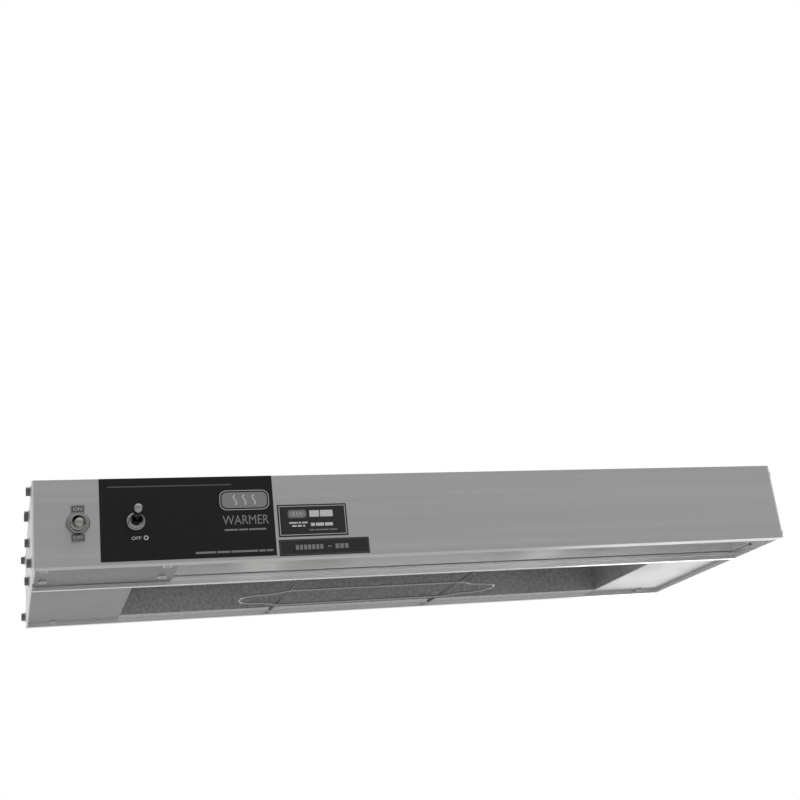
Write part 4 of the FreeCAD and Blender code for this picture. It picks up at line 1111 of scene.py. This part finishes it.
@dataclass
class ToggleSwitch(SubAssembly):
    """A panel toggle switch with a bat lever, a threaded neck and a ring nut."""

    name: str
    knurled: bool
    tip_radius: float = 0.0036
    knurls: int = 36

    def build(self) -> None:
        """Build the moving lever and the fixed pieces round it."""
        self._lever()
        self._neck()
        self._nut()
        self.soften(f"{self.name}_switch_case", f"{self.name}_switch_body", "phenolic", 0.0006,
                    "black_plastic")

    def _lever(self) -> None:
        """The bat lever: a ball in the neck, a waist and a rounded club end."""
        joint = next(joint for joint in frame["joints"] if joint["name"] == f"{self.name}_toggle")
        pivot = Vector(joint["pos_m"])
        lever = box(f"{self.name}_switch_lever")
        above, below = lever.high.z - pivot.z, pivot.z - lever.low.z
        ball, tip = min(above, below), self.tip_radius
        rise, reach = lever.size.z - ball - tip, pivot.y - lever.low.y - tip
        angle = math.atan2(rise if above > below else -rise, reach)
        length = math.hypot(rise, reach)
        outline = [(0, -ball), *arc(ball, ball, 0, (-math.pi / 2, 0.75), 8), (0.0021, ball), (0.0022, 0.0055),
                   (0.0025, 0.0095), (0.0029, 0.0130), (0.0034, 0.0160), (tip, length - 0.0012),
                   *arc(tip, tip + 0.0008, length - 0.0010, (0, math.pi / 2), 8)]
        work = self.piece(f"{self.name}_bat_lever")
        # the switch metal takes the darkened nickel: painted dark reflections
        swing = Matrix.Translation(pivot) @ Matrix.Rotation(-angle, 4, "X") @ Facing.FRONT.matrix((0, 0, 0))
        work.add(lathe(outline, 40), "nickel", swing)
        work.finish(f"{self.name}_switch_lever", "nickel", f"{self.name}_lever")

    def _neck(self) -> None:
        """The threaded neck with a dished mouth."""
        neck = box(f"{self.name}_switch_neck")
        radius, depth = neck.size.z / 2, neck.size.y
        mouth = depth - 0.0062
        outline = [(0, 0), (radius * 0.93, 0), *ridges(26, radius, radius * 0.93, depth * 0.04, depth * 0.90),
                   (radius * 0.92, depth - 0.0004), (radius * 0.86, depth), (radius * 0.80, depth),
                   (0.0042, depth - 0.0006), (0.0033, mouth + 0.0012), (0.0033, mouth - 0.003), (0, mouth - 0.003)]
        self.turn(f"{self.name}_switch_neck", f"{self.name}_threaded_neck", "nickel", "nickel", outline,
                  Facing.FRONT, neck.at(y=neck.high.y), 48)

    def _nut(self) -> None:
        """The ring nut on the front, knurled round its rim where the switch has one."""
        nut, neck = box(f"{self.name}_switch_nut"), box(f"{self.name}_switch_neck")
        radius, depth, bore = nut.size.z / 2, nut.size.y, neck.size.z / 2
        steps = 2 * self.knurls
        shape = lathe([(bore, 0), (radius * 0.97, 0), (radius, depth * 0.15), (radius, depth * 0.7),
                       (radius * 0.94, depth * 0.92), (radius * 0.88, depth), (bore + 0.0002, depth), (bore, 0)], steps)
        if self.knurled:
            for vert in shape.verts:
                turn = round(math.atan2(vert.co.y, vert.co.x) / (2 * math.pi / steps))
                if turn % 2 and math.hypot(vert.co.x, vert.co.y) > radius * 0.95:
                    vert.co.xy *= 0.955
        work = self.piece(f"{self.name}_ring_nut")
        work.add(shape, "nickel", Facing.FRONT.matrix(neck.at(y=nut.high.y)))
        work.finish(f"{self.name}_switch_nut", "nickel")


@dataclass
class FrontPlates(SubAssembly):
    """The black control plate, the labels, the switch legend and their plain marks."""

    ink: float = 0.00008
    bar_gap: float = 0.0008
    legend_rise: float = 0.0104

    def build(self) -> None:
        """Build the plates with their inks."""
        self._control_plate()
        self._service_label()
        self._lower_label()
        self._legend()

    @staticmethod
    def _rounded(width: float, height: float, corner: float) -> Outline:
        """The outline of a rounded rectangle about the origin.

        Args:
            width: Its width.
            height: Its height.
            corner: Radius of its corners.

        Returns:
            (across, up) pairs.
        """
        points = []
        for index, (side_x, side_y) in enumerate(((1, 1), (-1, 1), (-1, -1), (1, -1))):
            for step in range(7):
                turn = math.pi / 2 * (index + step / 6)
                points.append((side_x * (width / 2 - corner) + corner * math.cos(turn),
                               side_y * (height / 2 - corner) + corner * math.sin(turn)))
        return points

    def _frame_line(self, work: Workpiece, plate: Block, inset: float, line: float, finish: str) -> None:
        """Print a thin rectangle on the front of a plate.

        Args:
            work: The piece it is added to.
            plate: The plate.
            inset: How far it stays from the plate's edge.
            line: Width of its line.
            finish: Name of its ink.
        """
        x0, x1, z0, z1 = plate.low.x + inset, plate.high.x - inset, plate.low.z + inset, plate.high.z - inset
        for left, right, foot, top in ((x0, x1, z0, z0 + line), (x0, x1, z1 - line, z1),
                                       (x0, x0 + line, z0 + line, z1 - line), (x1 - line, x1, z0 + line, z1 - line)):
            work.bar((left, plate.low.y - self.ink, foot), (right, plate.low.y, top), finish)

    def _bars(self, work: Workpiece, corner: Vector, room: tuple[float, float], level: float, tall: float,
              shares: Sequence[float], finish: str) -> None:
        """Print a row of plain bars.

        Args:
            work: The piece it is added to.
            corner: A corner of the plate's front that the next two measures start from.
            room: Where the row starts and stops, across from the corner.
            level: Its middle line, up from the corner.
            tall: Height of the bars.
            shares: Their lengths, as shares of the room.
            finish: Name of their ink.
        """
        x, foot = corner.x + room[0], corner.z + level - tall / 2
        scale = (room[1] - room[0] - self.bar_gap * (len(shares) - 1)) / sum(shares)
        for share in shares:
            work.bar((x, corner.y - self.ink, foot), (x + share * scale, corner.y, foot + tall), finish)
            x += share * scale + self.bar_gap

    def _heat_sign(self, work: Workpiece, centre: Vector, width: float, height: float) -> None:
        """Print a round-cornered sign with three rising waves.

        Args:
            work: The piece it is added to.
            centre: Its middle, on the face it is printed on.
            width: Its width.
            height: Its height.
        """
        for share, level, finish in ((0.0, 1.0, "light_ink"), (0.06, 1.5, "black_enamel"), (0.20, 2.0, "mid_ink")):
            inset = share * height
            outline = self._rounded(width - inset, height - inset, (height - inset) * 0.34)
            work.flat(outline, self.ink * level, centre, finish)
        for shift in (-0.19, 0.0, 0.19):
            path = []
            for share in (step / 8 for step in range(9)):
                sway = width * 0.028 * math.sin(math.tau * share)
                path.append(centre + Vector((shift * width + sway, -self.ink * 2, height * 0.52 * (share - 0.5))))
            work.wire(path, width * 0.014, "light_ink", 0.0004)

    def _control_plate(self) -> None:
        """The black plate: a hair line, a heat sign with a plain word, bars, and switch marks."""
        plate = box("control_plate")
        foot, top = plate.low, Vector((plate.low.x, plate.low.y, plate.high.z))
        self.soften("control_plate", "control_plate_enamel", "black_enamel", 0.00015, "black_plate")
        work = self.piece("control_plate_marks")
        self._bars(work, top, (0.0060, 0.0960), -0.0064, 0.0008, (1,), "grey_ink")
        self._heat_sign(work, top + Vector((0.1050, 0, -0.0185)), 0.0370, 0.0150)
        work.word("WARMER", 0.0070, top + Vector((0.1052, 0, -0.0335)), "dim_ink", self.ink, 0.82)
        self._bars(work, top, (0.0890, 0.1200), -0.0410, 0.0013, (3, 2, 4), "dim_ink")
        self._bars(work, foot, (0.0670, 0.1240), 0.0040, 0.0015, (3, 2, 4, 1, 1), "dim_ink")
        below = box("heater_switch_neck").at(y=foot.y) - Vector((0, 0, 0.0122))
        work.word("OFF", 0.0023, below, "light_ink", self.ink, 1.25)
        work.turned([(0.0010, 0), (0.0017, 0), (0.0017, self.ink), (0.0010, self.ink), (0.0010, 0)], Facing.FRONT,
                    below + Vector((0.0068, 0, 0)), "light_ink", 28)
        work.finish(slot="black_plate")

    def _service_label(self) -> None:
        """The upper label: a thin frame, a small heat sign and rows of plain bars."""
        plate = box("service_label")
        foot, top = plate.low, Vector((plate.low.x, plate.low.y, plate.high.z))
        wide = plate.size.x
        self.soften("service_label", "service_label_film", "printed_film", 0.0001, "label")
        work = self.piece("service_label_marks")
        self._frame_line(work, plate, 0.0012, 0.0004, "light_ink")
        self._heat_sign(work, top + Vector((0.0150, 0, -0.0074)), 0.0140, 0.0060)
        for room, level, tall, shares in (((0.0245, wide - 0.0110), -0.0074, 0.0050, (3, 4)),
                                          ((0.0085, 0.0225), -0.0142, 0.0012, (3, 1, 2)),
                                          ((0.0105, 0.0205), -0.0166, 0.0012, (2, 2, 1)),
                                          ((0.0250, wide - 0.0115), -0.0158, 0.0024, (1, 2, 2))):
            self._bars(work, top, room, level, tall, shares, "light_ink")
        self._bars(work, foot, (0.0235, wide - 0.0085), 0.0048, 0.0009, (2, 5, 3), "dim_ink")
        work.finish(slot="label")

    def _lower_label(self) -> None:
        """The lower label: one row of plain bars in a hair line frame."""
        plate = box("lower_label")
        self.soften("lower_label", "lower_label_film", "printed_film", 0.0001, "label")
        work = self.piece("lower_label_marks")
        self._frame_line(work, plate, 0.0008, 0.0003, "grey_ink")
        for room, tall, count in (((0.0125, 0.0335), 0.0036, 7), ((0.0370, 0.0400), 0.0008, 1),
                                  ((0.0430, 0.0530), 0.0036, 3)):
            self._bars(work, plate.low, room, plate.size.z / 2, tall, (1,) * count, "dim_ink")
        work.finish(slot="label")

    def _legend(self) -> None:
        """The light switch's legend: a pressed disc with a tab above and below, each with a mark."""
        plate = box("light_legend_plate")
        radius, depth, bore = plate.size.x / 2, plate.size.y, 0.0056
        work = self.piece("light_legend")
        place = plate.at(y=plate.high.y, z=box("light_switch_neck").centre.z)
        work.turned([(bore, 0), (radius, 0), (radius, depth * 0.5), (radius - 0.0004, depth), (radius - 0.0016, depth),
                     (radius - 0.0020, depth * 0.75), (bore, depth * 0.75), (bore, 0)], Facing.FRONT, place,
                    "nickel", 48)
        for rise, mark in ((self.legend_rise, "ON"), (-self.legend_rise, "OFF")):
            tab = place + Vector((0, 0, rise))
            face = tab - Vector((0, depth, 0))
            work.flat(self._rounded(0.0098, 0.0062, 0.0008), depth, tab, "nickel", 0.00015)
            work.flat(self._rounded(0.0084, 0.0042, 0.0004), 0.0001, face, "grey_ink")
            work.word(mark, 0.0024, face - Vector((0, 0.0001, 0)), "light_ink", 0.0001, 1.2)
        work.finish("light_legend_plate", "nickel")


@dataclass
class ControlBox(SubAssembly):
    """What closes and fills the control compartment."""

    edge: float = 0.00025
    nut_bore: float = 0.0055
    waist_wide: float = 0.0016

    def build(self) -> None:
        """Dress the sheets and build screws, tabs, nuts, block, grommet and leads."""
        self.soften("control_cover", "control_box_cover", "box_cover_sheet", self.edge, "cover")
        self.soften("control_bulkhead", "control_box_bulkhead", "cover_sheet", self.edge, "cover")
        self.pan_screws("control_cover_screws", 0.005)
        self.soften("switch_tabs", "switch_spade_tabs", "brass", 0.0002, "brass")
        nuts = self.piece("switch_back_nut_set")
        for nut in islands("switch_back_nuts"):
            nuts.hexagon(nut.size.x / 2, nut.size.y, self.nut_bore, Facing.BACK, nut.at(y=nut.low.y), "zinc_steel")
        nuts.finish("switch_back_nuts", "zinc_steel")
        self.soften("terminal_block", "terminal_block_moulding", "phenolic", 0.0004, "black_plastic")
        self.pan_screws("terminal_screws", 0.003, "brass")
        ground = box("ground_screw")
        work = self.piece("ground_screw_green")
        work.pan_screw(Facing.RIGHT, ground.at(x=ground.high.x - PAN_HEIGHT), "green_lacquer", 0.0015)
        work.finish("ground_screw", "ground_green")
        self._grommet()
        coat(self.shop, ("heater_leads", "lamp_leads"), "glass_braid")

    def _grommet(self) -> None:
        """The rubber grommet where the leads pass the heater wall."""
        grommet = box("wire_grommet")
        radius, depth = grommet.size.x / 2, grommet.size.y
        wall = box("heater_housing").low.y - grommet.low.y
        eye, waist, soft = radius * 0.6, radius * 9 / 11, 0.0006
        outline = [(eye, 0), (radius - soft, 0), (radius, soft), (radius, wall - 0.0001), (waist, wall),
                   (waist, wall + self.waist_wide), (radius, wall + self.waist_wide + 0.0001),
                   (radius, depth - soft), (radius - soft, depth), (eye, depth), (eye * 0.94, depth / 2), (eye, 0)]
        self.turn("wire_grommet", "lead_grommet", "rubber", "grommet", outline, Facing.BACK,
                  grommet.at(y=grommet.low.y))


# ---- studio -----------------------------------------------------------------------------------

@dataclass(frozen=True)
class Card:
    """A rectangular area light that looks at a point."""

    name: str
    place: Corner
    target: Corner
    wide: float
    tall: float
    power: float
    mirrored: bool

    def hang(self) -> None:
        """Add the light; bright metal shows it only if it is mirrored."""
        data = bpy.data.lights.new(self.name, "AREA")
        data.shape = "RECTANGLE"
        data.size = self.wide
        data.size_y = self.tall
        data.energy = self.power
        light = bpy.data.objects.new(self.name, data)
        light.location = self.place
        light.rotation_mode = "QUATERNION"
        light.rotation_quaternion = (Vector(self.target) - Vector(self.place)).to_track_quat("-Z", "Y")
        light.visible_camera = False
        light.visible_glossy = self.mirrored
        bpy.context.scene.collection.objects.link(light)


@dataclass
class Studio:
    """The pale floor, the soft lights, the sky and the camera."""

    floor_level: float = -2.80
    floor_half: float = 16.0
    floor_grey: float = 0.81
    eye: Corner = (-0.3270, -0.9884, -0.2630)
    heading: float = 19.20
    climb: float = 19.28
    roll: float = -6.60
    lens: float = 55.32
    cards: Sequence[Card] = (
        Card("key_softbox", (-1.0, -1.6, 2.0), (-0.2, -0.1, 0.0), 0.30, 0.30, 6.0, False),
        Card("near_left_card", (-0.70, 0.45, -0.16), (-0.34, 0.0, -0.06), 0.30, 0.20, 0.8, True),
        Card("low_right_card", (1.70, 1.50, -0.40), (0.25, 0.04, -0.06), 1.5, 0.45, 4.4, True),
    )
    # axis, where the ramp starts and stops on it, and how bright it is at each end
    sky_ramps: Sequence[tuple[str, float, float, float, float]] = (
        ("Z", 0.25, 1.0, 0.46, 0.92), ("X", 0.0, 0.6, -0.03, 0.05), ("Y", -0.1, 0.5, 0.0, 0.12))

    def build(self) -> None:
        """Make the whole studio."""
        self._camera()
        self._floor()
        self._sky()
        for card in self.cards:
            card.hang()
        bpy.context.scene.view_settings.view_transform = "Standard"

    def _camera(self) -> None:
        """A camera low in front of the left end, looking up and to the right."""
        data = bpy.data.cameras.new("view_camera")
        data.lens = self.lens
        data.sensor_width = 36.0
        data.clip_start = 0.01
        camera = bpy.data.objects.new("view_camera", data)
        bpy.context.scene.collection.objects.link(camera)
        heading, climb = math.radians(self.heading), math.radians(self.climb)
        ahead = Vector((math.sin(heading) * math.cos(climb), math.cos(heading) * math.cos(climb), math.sin(climb)))
        camera.rotation_mode = "QUATERNION"
        camera.rotation_quaternion = (ahead.to_track_quat("-Z", "Y")
                                      @ Quaternion((0, 0, 1), math.radians(self.roll)))
        camera.location = self.eye
        bpy.context.scene.camera = camera

    def _floor(self) -> None:
        """A wide pale floor well below the warmer."""
        shape = bmesh.new()
        bmesh.ops.create_grid(shape, x_segments=1, y_segments=1, size=self.floor_half)
        bmesh.ops.translate(shape, vec=(0, 0, self.floor_level), verts=shape.verts)
        mesh = bpy.data.meshes.new("studio_floor")
        shape.to_mesh(mesh)
        shape.free()
        floor = bpy.data.objects.new("studio_floor", mesh)
        bpy.context.scene.collection.objects.link(floor)
        material = bpy.data.materials.new("pale_floor")
        material.use_nodes = True
        shader = material.node_tree.nodes["Principled BSDF"]
        shader.inputs["Base Color"].default_value = (*grey(self.floor_grey), 1)
        shader.inputs["Roughness"].default_value = 0.9
        mesh.materials.append(material)

    def _sky(self) -> None:
        """White to the camera, and a softer grey dome for light and reflections."""
        world = bpy.data.worlds.new("studio_sky")
        world.use_nodes = True
        nodes = Nodes(world.node_tree)
        white = world.node_tree.nodes["Background"]
        white.inputs["Color"].default_value = (1, 1, 1, 1)
        white.inputs["Strength"].default_value = 1.0
        soft = nodes.add("ShaderNodeBackground", {"Strength": 1.0})
        parts = nodes.add("ShaderNodeSeparateXYZ")
        nodes.link(nodes.add("ShaderNodeTexCoord").outputs["Generated"], parts.inputs[0])
        total = None
        for axis, start, stop, first, last in self.sky_ramps:
            ramp = nodes.add("ShaderNodeMapRange",
                             {"From Min": start, "From Max": stop, "To Min": first, "To Max": last})
            nodes.link(parts.outputs[axis], ramp.inputs["Value"])
            if total is None:
                total = ramp.outputs["Result"]
            else:
                both = nodes.add("ShaderNodeMath", operation="ADD")
                nodes.link(total, both.inputs[0])
                nodes.link(ramp.outputs["Result"], both.inputs[1])
                total = both.outputs[0]
        nodes.link(total, soft.inputs["Color"])
        mix = nodes.add("ShaderNodeMixShader")
        nodes.link(nodes.add("ShaderNodeLightPath").outputs["Is Camera Ray"], mix.inputs["Fac"])
        nodes.link(soft.outputs["Background"], mix.inputs[1])
        nodes.link(white.outputs["Background"], mix.inputs[2])
        nodes.link(mix.outputs["Shader"], world.node_tree.nodes["World Output"].inputs["Surface"])
        bpy.context.scene.world = world


def main() -> None:
    """Build every sub-assembly in order, then the studio."""
    logging.basicConfig(level=logging.INFO, format="%(name)s: %(message)s")
    shop = Shop()
    for part in (Housings(shop), HeaterRecess(shop), LampTrough(shop), ToggleSwitch(shop, "light", True),
                 ToggleSwitch(shop, "heater", False), FrontPlates(shop), ControlBox(shop), Studio()):
        LOG.info("building %s", type(part).__name__)
        part.build()


if __name__ == "__main__":
    main()
